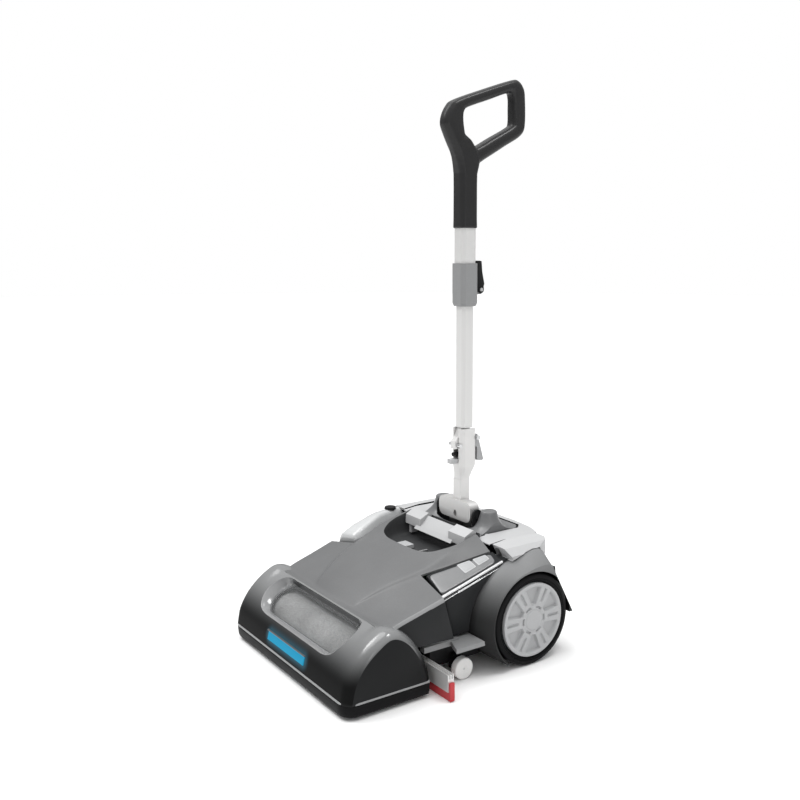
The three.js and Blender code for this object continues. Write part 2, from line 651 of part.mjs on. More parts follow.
// ---- Chassis, axle and wheels --------------------------------------------------------------
function buildChassis() {
  const { half, front, back, bottom, top } = CHASSIS;
  const frontWall = front + WALL;
  const hollow = box(-half + WALL, half - WALL, frontWall, back - WALL, bottom + 4, top + 10);
  const mouth = box(-120, 120, front - 5, frontWall + 2, bottom + 4, top + 5);
  const tub = box(-half, half, front, back, bottom, top - 1).subtract(hollow).subtract(mouth);
  const shelf = box(-148, 148, -94, front + 1, top + 1, top + 4);

  const sideParts = SIDES.flatMap(([, side]) => {
    const shelfPost = box(side * 130, side * 148, front, frontWall, bottom + 3, top + 3);
    const bearer = box(side * 144, side * 156, WHEEL.y - 14, WHEEL.y + 14, bottom + 2, WHEEL.z + 12)
      .subtract(bar(AXLE_RADIUS + BORE_PLAY, side * 140, side * 160, WHEEL.y, WHEEL.z));
    const stub = bar(4, side * (half - 1), side * (ROLLER.outer - 4), ROLLER.y, ROLLER.z, 16);
    const rollerEar = box(side * (half - WALL), side * (half + 8), ROLLER.y - 9, ROLLER.y + 9, 13, 40);
    const { pivotX, pivotY, pivotZ } = SQUEEGEE;
    const low = bottom + 2;
    const pivot = box(side * (pivotX - 4), side * (pivotX + 4), pivotY - 8, pivotY + 14, low, pivotZ + 9)
      .subtract(bar(4 + BORE_PLAY, side * 100, side * 125, pivotY, pivotZ, 16));
    return [shelfPost, bearer, stub, rollerEar, pivot];
  });
  addPiece('chassis_tray', join([tub, shelf, ...sideParts]), BLACK);
  addPiece('axle', bar(AXLE_RADIUS, -213, 213, WHEEL.y, WHEEL.z), STEEL);
}

function buildWheel(name, side) {
  const { radius, rimRadius: rim, inner, outer } = WHEEL;
  const bore = AXLE_RADIUS + 0.3;
  const tyre = [
    [rim + GAP, inner + 4], [rim + GAP, outer - 3], [radius - 9, outer], [radius - 3, outer - 3],
    [radius, outer - 10], [radius, inner + 10], [radius - 4, inner + 2], [radius - 9, inner],
    [rim + GAP, inner + 4],
  ];
  addPiece(`tyre_${name}`, turned(tyre, WHEEL.y, WHEEL.z, side, 44), RUBBER);
  const disc = [
    [0, outer + 5], [19, outer + 5], [22, outer + 2], [60, outer + 2], [rim, outer + 3.5], [rim, inner + 6],
    [rim - 5, inner + 6], [rim - 7, outer - 8], [18, outer - 8], [18, inner + 4], [bore, inner + 4],
    [bore, outer - 2], [0, outer - 2],
  ];
  addPiece(`wheel_disc_${name}`, turned(disc, WHEEL.y, WHEEL.z, side, 40), HUB_GREY);
}

function buildRoller(name, side) {
  const { radius, inner, outer } = ROLLER;
  const bore = 4.3;
  const roller = [
    [bore, inner], [radius - 1, inner], [radius, inner + 1], [radius, outer - 1.5], [radius - 1.5, outer],
    [0, outer], [0, outer - 3.5], [bore, outer - 3.5], [bore, inner],
  ];
  addPiece(`guide_roller_${name}`, turned(roller, ROLLER.y, ROLLER.z, side, 32), WHITE);
}

// ---- Squeegee ------------------------------------------------------------------------------
function buildSqueegee() {
  const { half, front, back, bottom, top, pivotX, pivotY, pivotZ } = SQUEEGEE;
  const grooveFloor = top - 8;
  const rail = [
    [front, bottom], [front, top], [front + 3, top], [front + 3, grooveFloor],
    [front + 4.8, grooveFloor], [front + 4.8, top], [front + 7.8, top], [front + 7.8, grooveFloor],
    [front + 9.4, grooveFloor], [front + 9.4, top], [back, top], [back, bottom],
  ];
  addPiece('squeegee_rail', prism('x', rail, -half, half), CLEAR);

  const seat = bottom - GAP;
  const lip = [[front + 4, 0], [front + 9, 0], [front + 11, seat], [front + 2, seat]];
  const ends = SIDES.flatMap(([, side]) => [
    box(side * (half + GAP), side * (half + 4), front + 2, back - 1, 2, 33),
    box(side * (half - 6), side * (half + 4), front + 4, back - 3, 2, seat),
  ]);
  addPiece('squeegee_blade', join([prism('x', lip, -half, half), ...ends]), RED);

  const arms = SIDES.map(([, side]) => {
    const middle = side * (pivotX - 13);
    return box(middle - 5, middle + 5, back + GAP, pivotY, pivotZ - 7, pivotZ + 5)
      .add(bar(8, middle - 5, middle + 5, pivotY, pivotZ, 20))
      .add(bar(4, middle - 16, middle + 16, pivotY, pivotZ, 16));
  });
  const tie = bar(3.5, 11 - pivotX, pivotX - 11, back + 14, pivotZ - 1, 16);
  addPiece('squeegee_arms', join([...arms, tie]), BLACK);
}

// ---- Mast: tilting foot, folding joint, telescopic tubes and grip ----------------------------
/** An upright tube or sleeve with cut corners, centred on the mast. */
function upright(side, cut, z0, z1) {
  return prism('z', octagon(0, MAST_Y, side / 2, side / 2, cut), z0, z1);
}

/** A cross-section of a casting on the mast, for a loft along Z. */
function mastRing(at, halfX, halfY, centre, cut) {
  return { at, points: octagon(0, centre, halfX, halfY, cut) };
}

/** A bore along X through the whole mast. */
function crossBore(radius, y, z) {
  return bar(radius + BORE_PLAY, -30, 30, y, z, 20);
}

/** The pivot plate across the machine, and the clevis in which the mast folds. */
function buildMastFoot() {
  const { bottom, waist, top, half, depth, chamfer, socket } = CLEVIS;
  const plateHalf = HINGE.plateHalf;
  const plate = prism('x', octagon(HINGE.y, HINGE.z, 9, 18, 5), 6 - plateHalf, plateHalf - 6);
  const barrel = bar(11, -plateHalf, plateHalf, HINGE.y, HINGE.z, 24);
  const neck = box(-12.5, 12.5, 112, 134, HINGE.z, bottom + 4);
  const casting = loft('z', [
    mastRing(bottom, 12.5, 11, 123, 2),
    mastRing(bottom + 8, 13, 11.5, 123.5, 3),
    mastRing(waist, half, depth, MAST_Y, chamfer),
    mastRing(top, half, depth, MAST_Y, chamfer),
  ]);
  const sockets = join([
    box(-socket, socket, 113.5, 160, waist + 32, top + 5),
    box(-7.5, 7.5, 90, 116, waist + 4, top + 5),
    box(-socket, socket, 113.5, 143.2, waist + 4, top + 5),
  ]);
  const bores = join([
    bar(HINGE.pin + BORE_PLAY, -70, 70, HINGE.y, HINGE.z),
    crossBore(FOLD.pin, FOLD.y, FOLD.z),
    crossBore(LATCH.pin, LATCH.y, LATCH.z),
  ]);
  const foot = join([plate, barrel, neck, casting]).subtract(sockets).subtract(bores);
  addPiece('mast_foot', foot, SILVER);
}

/** The block that folds in the clevis, its pin, and the latch behind it. */
function buildFoldJoint() {
  const pinEnds = SIDES.map(([, side]) => bar(5, side * 19, side * 22.5, LATCH.y, LATCH.z, 6));
  const latchPin = join([bar(LATCH.pin, -21, 21, LATCH.y, LATCH.z, 16), ...pinEnds]);
  addPiece('latch_pin', latchPin, STEEL);
  const wedge = [
    [144, 386], [150, 387], [153, 378], [165, 336], [162, 333], [149.5, 335], [149.5, 361], [144, 363],
  ];
  const lever = prism('x', wedge, -13.5, 13.5).subtract(crossBore(LATCH.pin + 0.1, LATCH.y, LATCH.z));
  addPiece('latch_lever', lever, HUB_GREY);

  const tongue = [[101, 361], [101, 376], [108, 384], [117, 403], [136, 403], [136, 372], [116, 361]];
  const block = prism('x', tongue, -7, 7)
    .add(upright(23.2, 4, 402, 430))
    .subtract(crossBore(FOLD.pin, FOLD.y, FOLD.z));
  addPiece('fold_block', block, HUB_GREY);
  addPiece('fold_pin', bar(FOLD.pin, -17, 17, FOLD.y, FOLD.z, 20), STEEL);
  addPiece('lock_knob', barY(4, 100, 113, 0, 350), BLACK);
  addPiece('release_button', box(-6.5, 6.5, 92, 126, 332.8, 341), LIGHT_GREY);
}

/** The two tubes, and the collar that clamps one in the other. */
function buildTubes() {
  const { side, chamfer, wall, top } = LOWER_TUBE;
  const seat = CLEVIS.top + 1.4;
  const lower = upright(side, chamfer, seat, top)
    .subtract(upright(side - 2 * wall, chamfer - 0.6 * wall, seat - 5, top + 5));
  addPiece('lower_tube', lower, SILVER);

  const bore = (z0, z1) => upright(side + 2 * GAP, chamfer + BORE_PLAY, z0, z1);
  const shoulder = COLLAR.top - 22;
  const upper = upright(UPPER_TUBE.side, UPPER_TUBE.chamfer, shoulder, UPPER_TUBE.top)
    .subtract(bore(shoulder - 5, UPPER_TUBE.top + 5));
  addPiece('upper_tube', upper, SILVER);

  const halfSide = COLLAR.side / 2;
  const sleeve = loft('z', [
    mastRing(COLLAR.bottom, halfSide - 2, halfSide - 2, MAST_Y, COLLAR.chamfer),
    mastRing(COLLAR.bottom + 6, halfSide, halfSide, MAST_Y, COLLAR.chamfer),
    mastRing(COLLAR.top, halfSide, halfSide, MAST_Y, COLLAR.chamfer),
  ]);
  const lug = box(-9, 9, 146, 161, CLAMP.z - 9, CLAMP.z + 7);
  const collar = sleeve.add(lug)
    .subtract(bore(COLLAR.bottom - 5, COLLAR.top + 5))
    .subtract(upright(UPPER_TUBE.side + 0.6, UPPER_TUBE.chamfer, shoulder - GAP, COLLAR.top + 5))
    .subtract(crossBore(CLAMP.pin, CLAMP.y, CLAMP.z));
  addPiece('clamp_collar', collar, COVER_GREY);
  addPiece('clamp_pin', bar(CLAMP.pin, -15, 15, CLAMP.y, CLAMP.z, 16), STEEL);
}

/** A lever with two ears round the clamp's pin. */
function buildClampLever() {
  const blade = [
    [148.8, 676], [150, 716], [153, 722], [158, 721], [160, 700], [165, 678], [163, 672], [160.6, 675],
  ];
  const ear = [...arc(CLAMP.y, CLAMP.z, 7, 180, 360, 8), [163, 678], [150, 678]];
  const ears = SIDES.map(([, side]) => prism('x', ear, side * 9.5, side * 13));
  const lever = join([prism('x', blade, -13, 13), ...ears])
    .subtract(crossBore(CLAMP.pin + 0.1, CLAMP.y, CLAMP.z))
    .subtract(box(-9.4, 9.4, 140, 162, 650, 675.5));
  addPiece('clamp_lever', lever, BLACK);
}

/** The hand grip: a sleeve that opens into a loop leaning back over the operator's hand. */
function buildGrip() {
  const loopOutline = [
    [109, GRIP.bottom], [108, 885], [101, 916], [79, 956], [73, 972], [74, 986], [84, 1006], [100, 1018],
    [238, 1068], [250, 1068], [263, 1054], [268, 1036], [267, 985], [258, 962], [172, 914], [156, 900],
    [148, 880], [147, GRIP.bottom],
  ];
  const opening = [
    [118, 985], [121, 998], [130, 1006], [226, 1040], [234, 1034], [235, 984], [227, 976], [138, 930],
    [128, 934],
  ];
  const widths = [[GRIP.bottom - 5, GRIP.half], [GRIP.join, 18.5], [950, 16], [1080, 14.5]];
  const slim = prism('y', [...widths, ...mirrored(widths)], 40, 300);
  const body = prism('x', loopOutline, -GRIP.half, GRIP.half)
    .intersect(slim)
    .subtract(prism('x', opening, -30, 30))
    .subtract(upright(UPPER_TUBE.side + 2 * GAP, UPPER_TUBE.chamfer, GRIP.bottom - 5, UPPER_TUBE.top + 1));
  addPiece('grip', body, GRIP_BLACK);
}

// ---- Inside: brush drive, battery, pump, suction motor and electronics ------------------------
function buildBrush() {
  const { y, z, half, core, radius, shaft } = BRUSH;
  const rod = bar(core, -half - 2, half + 2, y, z, 28).add(bar(shaft, -196, 196, y, z, 20));
  addPiece('brush_core', rod, LIGHT_GREY);
  const sleeve = bar(radius, -half, half, y, z, 44).subtract(bar(core + GAP, -half - 5, half + 5, y, z, 28));
  addPiece('brush_sleeve', sleeve, FIBRE);
  SIDES.forEach(([name, side]) => {
    const bearing = bar(BEARING.radius, side * BEARING.near, side * BEARING.far, y, z, 24)
      .subtract(bar(shaft + 0.3, side * 185, side * 198, y, z, 20));
    addPiece(`brush_bearing_${name}`, bearing, STEEL);
  });
}

function buildDrive() {
  const { y, z, shaft } = BRUSH;
  const pulley = (radius, atY, atZ, hole) => bar(radius, -BELT.outer, -BELT.inner, atY, atZ, 28)
    .subtract(bar(hole + 0.3, -BELT.outer - 5, -BELT.inner + 5, atY, atZ, 20));
  addPiece('brush_pulley', pulley(BELT.brushRadius, y, z, shaft), BLACK);
  addPiece('motor_pulley', pulley(BELT.motorRadius, MOTOR.y, MOTOR.z, MOTOR.shaft), STEEL);

  const angle = THREE.MathUtils.radToDeg(Math.atan2(MOTOR.z - z, MOTOR.y - y));
  const track = (grow) => [
    ...arc(y, z, BELT.brushRadius + grow, angle + 84, angle + 276, 18),
    ...arc(MOTOR.y, MOTOR.z, BELT.motorRadius + grow, angle - 84, angle + 84, 12),
  ];
  const belt = prism('x', track(GAP + BELT.thickness), -BELT.outer + 1, -BELT.inner - 1)
    .subtract(prism('x', track(GAP), -BELT.outer - 1, -BELT.inner + 1));
  addPiece('drive_belt', belt, RUBBER);
  const motor = bar(MOTOR.radius, -MOTOR.near, -MOTOR.far, MOTOR.y, MOTOR.z, 28)
    .add(bar(MOTOR.shaft, -BELT.outer - 1, -MOTOR.near + 1, MOTOR.y, MOTOR.z, 16));
  addPiece('brush_motor', motor, STEEL);
}

function buildInside() {
  buildBrush();
  buildDrive();
  addPiece('battery_pack', box(-BATTERY.half, BATTERY.half, BATTERY.front, BATTERY.back, BATTERY.bottom,
    BATTERY.top), BLACK);
  const { x, y, bottom, top, radius, inlet } = SUCTION;
  const suction = post(radius, radius, bottom, top, x, y, 28)
    .add(post(inlet, inlet, top - 1, top + 8, x, y, 20));
  addPiece('suction_motor', suction, CHARCOAL);
  const outlet = bar(PUMP.inlet, PUMP.right - 1, PUMP.right + 18, 157, 84, 20);
  const pump = box(PUMP.left, PUMP.right, PUMP.front, PUMP.back, PUMP.bottom, PUMP.top).add(outlet);
  addPiece('water_pump', pump, LIGHT_GREY);
  const boardTop = BOARD.bottom + BOARD.thickness;
  const board = box(-BOARD.half, BOARD.half, BOARD.front, BOARD.back, BOARD.bottom, boardTop)
    .add(box(-40, -10, -10, 20, boardTop - 1, boardTop + 12));
  addPiece('control_board', board, BOARD_GREEN);
}

buildHead();
buildCover();
buildTanks();
buildRear();
buildChassis();
SIDES.forEach(([name, side]) => {
  buildWheel(name, side);
  buildRoller(name, side);
});
buildSqueegee();
buildMastFoot();
buildFoldJoint();
buildTubes();
buildClampLever();
buildGrip();
buildInside();

export default model;
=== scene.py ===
"""Looks of the walk-behind floor scrubber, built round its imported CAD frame."""
import math
from math import cos, pi, radians, sin

import bmesh
import bpy
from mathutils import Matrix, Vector


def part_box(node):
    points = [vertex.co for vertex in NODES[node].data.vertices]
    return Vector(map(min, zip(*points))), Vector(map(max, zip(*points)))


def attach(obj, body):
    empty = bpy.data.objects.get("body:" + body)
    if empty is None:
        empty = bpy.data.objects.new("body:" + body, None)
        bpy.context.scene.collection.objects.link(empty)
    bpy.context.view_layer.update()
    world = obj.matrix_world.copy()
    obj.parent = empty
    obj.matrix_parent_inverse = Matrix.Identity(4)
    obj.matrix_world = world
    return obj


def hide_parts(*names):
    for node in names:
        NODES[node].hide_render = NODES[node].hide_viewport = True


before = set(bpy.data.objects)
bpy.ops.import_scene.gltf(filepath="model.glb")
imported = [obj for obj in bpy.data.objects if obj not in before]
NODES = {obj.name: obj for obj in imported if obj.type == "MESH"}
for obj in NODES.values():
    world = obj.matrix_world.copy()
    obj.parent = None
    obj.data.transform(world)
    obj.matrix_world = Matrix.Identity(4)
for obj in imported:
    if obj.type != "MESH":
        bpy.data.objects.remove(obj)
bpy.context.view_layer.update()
BODY = "machine_body"
MM = 0.001
SCENE = bpy.context.scene
SIDES = (("left", -1), ("right", 1))


# ---- Driving dimensions, in millimetres; a curve is a list of (y, value) ----
WHEEL_Y, WHEEL_Z = 118, 85
HEAD_END, HEAD_FRONT, HEAD_BACK, HEAD_BASE = 214, -266.8, -97, 27
END_ROUND, END_TURN = 23, 62
LED_HALF, LED_MIDDLE = 68, 51
CROWN_DROP, HOOD_CROWN, BOWL_FLOOR = 6, 5, 175
COVER_BACK, COVER_LOW = 76, 80
TANK_OUTER, TANK_LOW, TANK_SLOPE, TANK_GAP, TANK_WELL = 183, 74, 0.3, 2.0, 111
FENDER_CROWN, FENDER_LIP, FENDER_WELL = 108, 91, 88

SHOULDER_HALF = [(-181, 188.5), (-171, 189), (-110, 193), (-60, 197), (0, 202)]
SHOULDER_Z = [(-181, 116), (-171, 121), (-150, 130), (-110, 142.3), (-60, 158), (0, 176)]
HOOD_FOOT_HALF = [
    (-181, 66), (-171, 70), (-150, 77), (-110, 94.5), (-70, 110.4), (-50, 117), (-10, 126), (76, 146),
]
HOOD_FOOT_Z = [
    (-181, 118.5), (-171, 123), (-150, 135), (-110, 154), (-70, 167), (-50, 173), (-10, 181.5), (76, 200),
]
HOOD_HALF = [(-181, 62), (-171, 66), (-150, 75), (-110, 89), (-70, 102.6), (-30, 112), (10, 114), (76, 109)]
DOME_Z = [(-70, 163), (-58, 176), (-43, 188), (-9, 200), (24, 211), (76, 213), (100, 213)]
HOOD_Z = [
    (-181, 118), (-171, 123), (-150, 137), (-110, 158), (-70, 172.6), (-30, 185.5), (10, 202), (76, 221)]
# Rounding of a tank's front: (distance inward, distance behind the seam).
TANK_NOSE = ((7, 4.5), (3.5, 5.0), (1.2, 6.5), (0, 10))


# ---- Small geometry helpers ----
def lerp(a, b, t):
    return a + (b - a) * t


def ease(t):
    t = max(0.0, min(1.0, t))
    return t * t * (3 - 2 * t)


def at(table, u):
    """Read a smooth curve through (u, value) pairs."""
    count = len(table)
    i = max(0, min(count - 2, sum(1 for x, _ in table if x <= u) - 1))
    (u0, v0), (u1, v1) = table[i], table[i + 1]
    step = u1 - u0
    slope = (v1 - v0) / step
    before = slope if i == 0 else (v1 - table[i - 1][1]) / (u1 - table[i - 1][0])
    after = slope if i == count - 2 else (table[i + 2][1] - v0) / (table[i + 2][0] - u0)
    t = (u - u0) / step
    if t < 0:
        return v0 + slope * (u - u0)
    if t > 1:
        return v1 + slope * (u - u1)
    a = (1 + 2 * t) * (1 - t) ** 2 * v0 + t * (1 - t) ** 2 * step * before
    return a + t * t * (3 - 2 * t) * v1 + t * t * (t - 1) * step * after


def read(path, u, missing):
    """Read a straight-line curve through (u, value) pairs; missing is the value off its ends."""
    for (u0, v0), (u1, v1) in zip(path, path[1:]):
        if u0 <= u <= u1:
            return lerp(v0, v1, (u - u0) / max(1e-6, u1 - u0))
    return missing


def spline(points, steps, closed=False):
    """A smooth curve through 2-D points."""
    count = len(points)
    out = []
    for i in range(count if closed else count - 1):
        p1, p2 = Vector(points[i]), Vector(points[(i + 1) % count])
        p0 = Vector(points[i - 1]) if closed or i else p1
        p3 = Vector(points[(i + 2) % count]) if closed or i < count - 2 else p2
        for k in range(steps):
            t = k / steps
            a = 2 * p1 + (p2 - p0) * t + (2 * p0 - 5 * p1 + 4 * p2 - p3) * t * t
            out.append(0.5 * (a + (3 * p1 - p0 - 3 * p2 + p3) * t ** 3))
    if not closed:
        out.append(Vector(points[-1]))
    return out


def resample(points, count, closed=False):
    """The same path with evenly spaced points."""
    path = [Vector(p) for p in points]
    if closed:
        path.append(path[0].copy())
    lengths = [0.0]
    for a, b in zip(path, path[1:]):
        lengths.append(lengths[-1] + (b - a).length)
    total = lengths[-1]
    out = []
    i = 0
    for k in range(count):
        want = total * k / (count if closed else count - 1)
        while i < len(path) - 2 and lengths[i + 1] < want:
            i += 1
        span = max(1e-9, lengths[i + 1] - lengths[i])
        out.append(path[i].lerp(path[i + 1], min(1.0, (want - lengths[i]) / span)))
    return out


def rounded(points, radius, steps, closed=True):
    """The same outline with its corners rounded; radius is one number or one for each corner."""
    count = len(points)
    radii = list(radius) if isinstance(radius, (list, tuple)) else [radius] * count
    out = []
    for i, point in enumerate(points):
        p = Vector(point)
        if radii[i] <= 0 or (not closed and i in (0, count - 1)):
            out.append(p)
            continue
        a, b = Vector(points[i - 1]), Vector(points[(i + 1) % count])
        start = p + (a - p).normalized() * min(radii[i], (a - p).length * 0.49)
        end = p + (b - p).normalized() * min(radii[i], (b - p).length * 0.49)
        for k in range(steps + 1):
            t = k / steps
            out.append((1 - t) ** 2 * start + 2 * t * (1 - t) * p + t * t * end)
    return out


def inset(points, amount):
    """A closed 2-D outline drawn in by an amount; the outline turns anticlockwise."""
    count = len(points)
    out = []
    for i in range(count):
        p = Vector(points[i])
        a, b = p - Vector(points[i - 1]), Vector(points[(i + 1) % count]) - p
        a, b = a.normalized(), b.normalized()
        normal = Vector((-a.y - b.y, a.x + b.x))
        if normal.length < 1e-9:
            normal = Vector((-a.y, a.x))
        out.append(p + normal.normalized() * amount)
    return out


def add(name, data):
    """A new object in the scene."""
    obj = bpy.data.objects.new(name, data)
    SCENE.collection.objects.link(obj)
    return obj


def round_wheel(radius, angle):
    """The (y, z) point at a distance and an angle from the wheels' axle."""
    return (WHEEL_Y + radius * cos(angle), WHEEL_Z + radius * sin(angle))


def make(name, verts, faces):
    """A mesh object from points in millimetres, with its faces turned outward."""
    data = bpy.data.meshes.new(name)
    data.from_pydata([Vector(v) * MM for v in verts], [], faces)
    obj = add(name, data)
    mesh = bmesh.new()
    mesh.from_mesh(data)
    bmesh.ops.remove_doubles(mesh, verts=mesh.verts, dist=1e-6)
    bmesh.ops.recalc_face_normals(mesh, faces=mesh.faces)
    mesh.to_mesh(data)
    mesh.free()
    return obj


def skin(name, rings, closed=True, caps=True, wrap=False):
    """A surface through rings of points; wrap joins the last ring to the first."""
    count = len(rings[0])
    verts = [p for ring in rings for p in ring]
    faces = []
    for r in range(len(rings) if wrap else len(rings) - 1):
        a, b = r * count, ((r + 1) % len(rings)) * count
        for i in range(count if closed else count - 1):
            j = (i + 1) % count
            faces.append((a + i, a + j, b + j, b + i))
    if caps and not wrap:
        faces.append(tuple(range(count)))
        faces.append(tuple(reversed(range(len(verts) - count, len(verts)))))
    return make(name, verts, faces)


def place(axis, u, v, w):
    """(u, v) on the plane across an axis and w along it: (y, z), (z, x) or (x, y)."""
    return {"x": (w, u, v), "y": (v, w, u), "z": (u, v, w)}[axis]


def prism(name, axis, points, low, high):
    return skin(name, [[place(axis, u, v, w) for u, v in points] for w in (low, high)])


def rectangle(x0, x1, y0, y1):
    return [(x0, y0), (x1, y0), (x1, y1), (x0, y1)]


def circle(u, v, radius, count):
    turns = [2 * pi * k / count for k in range(count)]
    return [(u + radius * cos(t), v + radius * sin(t)) for t in turns]


def block(name, x0, x1, y0, y1, z0, z1):
    return prism(name, "z", rectangle(x0, x1, y0, y1), z0, z1)


def lathe(name, profile, y, z, side, segments):
    """A ring of revolution about X; profile(angle) gives a closed list of (radius, x)."""
    rings = []
    for k in range(segments):
        angle = 2 * pi * k / segments
        c, s = cos(angle), sin(angle)
        rings.append([(side * x, y + r * c, z + r * s) for r, x in profile(angle)])
    return skin(name, rings, wrap=True)


def bake(obj):
    """Replace an object's mesh by what its modifiers make of it."""
    graph = bpy.context.evaluated_depsgraph_get()
    data = bpy.data.meshes.new_from_object(obj.evaluated_get(graph))
    obj.modifiers.clear()
    obj.data = data
    return obj


def cut(obj, other, operation="DIFFERENCE"):
    modifier = obj.modifiers.new("cut", "BOOLEAN")
    modifier.operation = operation
    modifier.object = other
    modifier.solver = "EXACT"
    bake(obj)
    bpy.data.objects.remove(other)
    return obj


def soften(obj, degrees=35):
    """Smooth shading with sharp edges kept."""
    obj.data.shade_smooth()
    obj.data.set_sharp_from_angle(angle=radians(degrees))
    return obj


def bevel(obj, width, segments=3, degrees=32, merge=True):
    """Rounded edges on a piece of flat faces."""
    if merge:
        flat = obj.modifiers.new("flat", "DECIMATE")
        flat.decimate_type = "DISSOLVE"
        flat.angle_limit = radians(1.5)
    edge = obj.modifiers.new("edge", "BEVEL")
    edge.width = width * MM
    edge.segments = segments
    edge.limit_method = "ANGLE"
    edge.angle_limit = radians(degrees)
    edge.use_clamp_overlap = True
    weight = obj.modifiers.new("weight", "WEIGHTED_NORMAL")
    weight.keep_sharp = True
    obj.data.shade_smooth()
    return obj


def dress(obj, body, slot, look, *nodes):
    """Give a new piece its material, its body and the CAD nodes it stands for."""
    obj.data.materials.clear()
    obj.data.materials.append(look)
    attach(obj, body)
    if nodes:
        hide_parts(*nodes)
    return obj


def paint(obj, look, wanted):
    """Give the faces for which wanted(normal, centre) holds another material."""
    obj.data.materials.append(look)
    index = len(obj.data.materials) - 1
    for face in obj.data.polygons:
        if wanted(face.normal, face.center):
            face.material_index = index


# ---- Materials ----
def link(tree, source, target):
    tree.links.new(source, target)


def put(node, values):
    for name, value in values.items():
        node.inputs[name].default_value = value


def noise(tree, coordinates, scale, detail, stretch=None):
    texture = tree.nodes.new("ShaderNodeTexNoise")
    put(texture, {"Scale": scale, "Detail": detail})
    source = coordinates
    if stretch:
        mapping = tree.nodes.new("ShaderNodeMapping")
        put(mapping, {"Scale": stretch})
        link(tree, coordinates, mapping.inputs["Vector"])
        source = mapping.outputs["Vector"]
    link(tree, source, texture.inputs["Vector"])
    return texture.outputs["Fac"]


def ramp(tree, value, low, high, out_low=0.0, out_high=1.0):
    node = tree.nodes.new("ShaderNodeMapRange")
    node.interpolation_type = "SMOOTHSTEP"
    put(node, {"From Min": low, "From Max": high, "To Min": out_low, "To Max": out_high})
    link(tree, value, node.inputs["Value"])
    return node.outputs["Result"]


def blend_colour(tree, factor, a, b):
    node = tree.nodes.new("ShaderNodeMix")
    node.data_type = "RGBA"
    link(tree, factor, node.inputs["Factor"])
    for socket, value in ((node.inputs["A"], a), (node.inputs["B"], b)):
        if isinstance(value, tuple):
            socket.default_value = (*value, 1.0)
        else:
            link(tree, value, socket)
    return node.outputs["Result"]


def math_node(tree, operation, a, b=None):
    node = tree.nodes.new("ShaderNodeMath")
    node.operation = operation
    for socket, value in zip(node.inputs, (a, b)):
        if isinstance(value, float):
            socket.default_value = value
        elif value is not None:
            link(tree, value, socket)
    return node.outputs["Value"]


def shade(colour, factor):
    return tuple(min(1.0, c * factor) for c in colour)


def material(name, colour, rough, metal=0.0, mottle=0.08, grain=0.12, grain_scale=1400,
             coat=0.0, edge_wear_and_sheen=0.06, stretch=None, alpha=1.0, low=None, glow=None, halo=None, shine=0.4):
    """A procedural finish: uneven colour and roughness, fine surface grain and paler edges, partly wear and
    partly a painted edge highlight.
    low paints shade below a height: (height, fade, factor), darker colour and weaker reflections toward the
    bottom. glow is its own light, (colour, strength);
    halo is the light strip's spill on what lies round it. shine is the strength of its reflections."""
    look = bpy.data.materials.new(name)
    look.use_nodes = True
    tree = look.node_tree
    shader = tree.nodes["Principled BSDF"]
    put(shader, {"Specular IOR Level": shine, "Coat Weight": coat, "Coat Roughness": 0.12})
    put(shader, {"Metallic": metal, "Alpha": alpha})
    coordinates = tree.nodes.new("ShaderNodeTexCoord").outputs["Object"]
    patches = noise(tree, coordinates, 14, 4.0)
    colour_out = blend_colour(tree, patches, shade(colour, 1 - mottle), shade(colour, 1 + mottle))
    specks = ramp(tree, noise(tree, coordinates, 420, 2.0, stretch), 0.35, 0.7)
    colour_out = blend_colour(
        tree, ramp(tree, specks, 0, 1, 0, 0.5), colour_out, shade(colour, 1 - mottle * 0.8))
    axes = tree.nodes.new("ShaderNodeSeparateXYZ")
    link(tree, coordinates, axes.inputs["Vector"])
    if low:
        # Painted shade: below the height, colour, reflections and coat fade darker.
        height, fade, factor = low
        down = ramp(tree, axes.outputs["Z"], (height - fade) * MM, height * MM)
        colour_out = blend_colour(tree, down, shade(colour, factor), colour_out)
        link(tree, ramp(tree, down, 0, 1, shine * 0.04, shine), shader.inputs["Specular IOR Level"])
        link(tree, ramp(tree, down, 0, 1, 0.0, coat), shader.inputs["Coat Weight"])
    # Paler convex edges: partly wear, partly a painted highlight along the edges.
    if edge_wear_and_sheen:
        edges = tree.nodes.new("ShaderNodeNewGeometry").outputs["Pointiness"]
        worn_and_lit_edges = ramp(tree, edges, 0.52, 0.62, 0, edge_wear_and_sheen)
        pale = tuple(lerp(c, 0.5, 0.35) for c in colour)
        colour_out = blend_colour(tree, worn_and_lit_edges, colour_out, pale)
    link(tree, colour_out, shader.inputs["Base Color"])
    smudges = noise(tree, coordinates, 32, 5.0)
    link(tree, ramp(tree, smudges, 0.2, 0.8, rough * 0.92, min(1, rough * 1.1)), shader.inputs["Roughness"])
    bump = tree.nodes.new("ShaderNodeBump")
    put(bump, {"Strength": grain, "Distance": 0.0003})
    link(tree, noise(tree, coordinates, grain_scale, 2.0, stretch), bump.inputs["Height"])
    link(tree, bump.outputs["Normal"], shader.inputs["Normal"])
    if halo:
        across = math_node(tree, "ABSOLUTE", axes.outputs["X"])
        across = math_node(tree, "MAXIMUM", math_node(tree, "SUBTRACT", across, LED_HALF * MM * 0.92), 0.0)
        upward = math_node(tree, "SUBTRACT", axes.outputs["Z"], LED_MIDDLE * MM)
        upward = math_node(tree, "MULTIPLY", upward, upward)
        squares = math_node(tree, "ADD", math_node(tree, "POWER", across, 2.0), upward)
        near = ramp(tree, math_node(tree, "SQRT", squares), 0.005, 0.024, 1.0, 0.0)
        ahead = ramp(tree, axes.outputs["Y"], -0.25, -0.24, 1.0, 0.0)
        lit = math_node(tree, "MULTIPLY", math_node(tree, "POWER", near, 1.6), ahead)
        put(shader, {"Emission Color": (*halo[0], 1.0)})
        link(tree, math_node(tree, "MULTIPLY", lit, halo[1]), shader.inputs["Emission Strength"])
    if glow:
        put(shader, {"Emission Color": (*glow[0], 1.0), "Emission Strength": glow[1]})
    return look


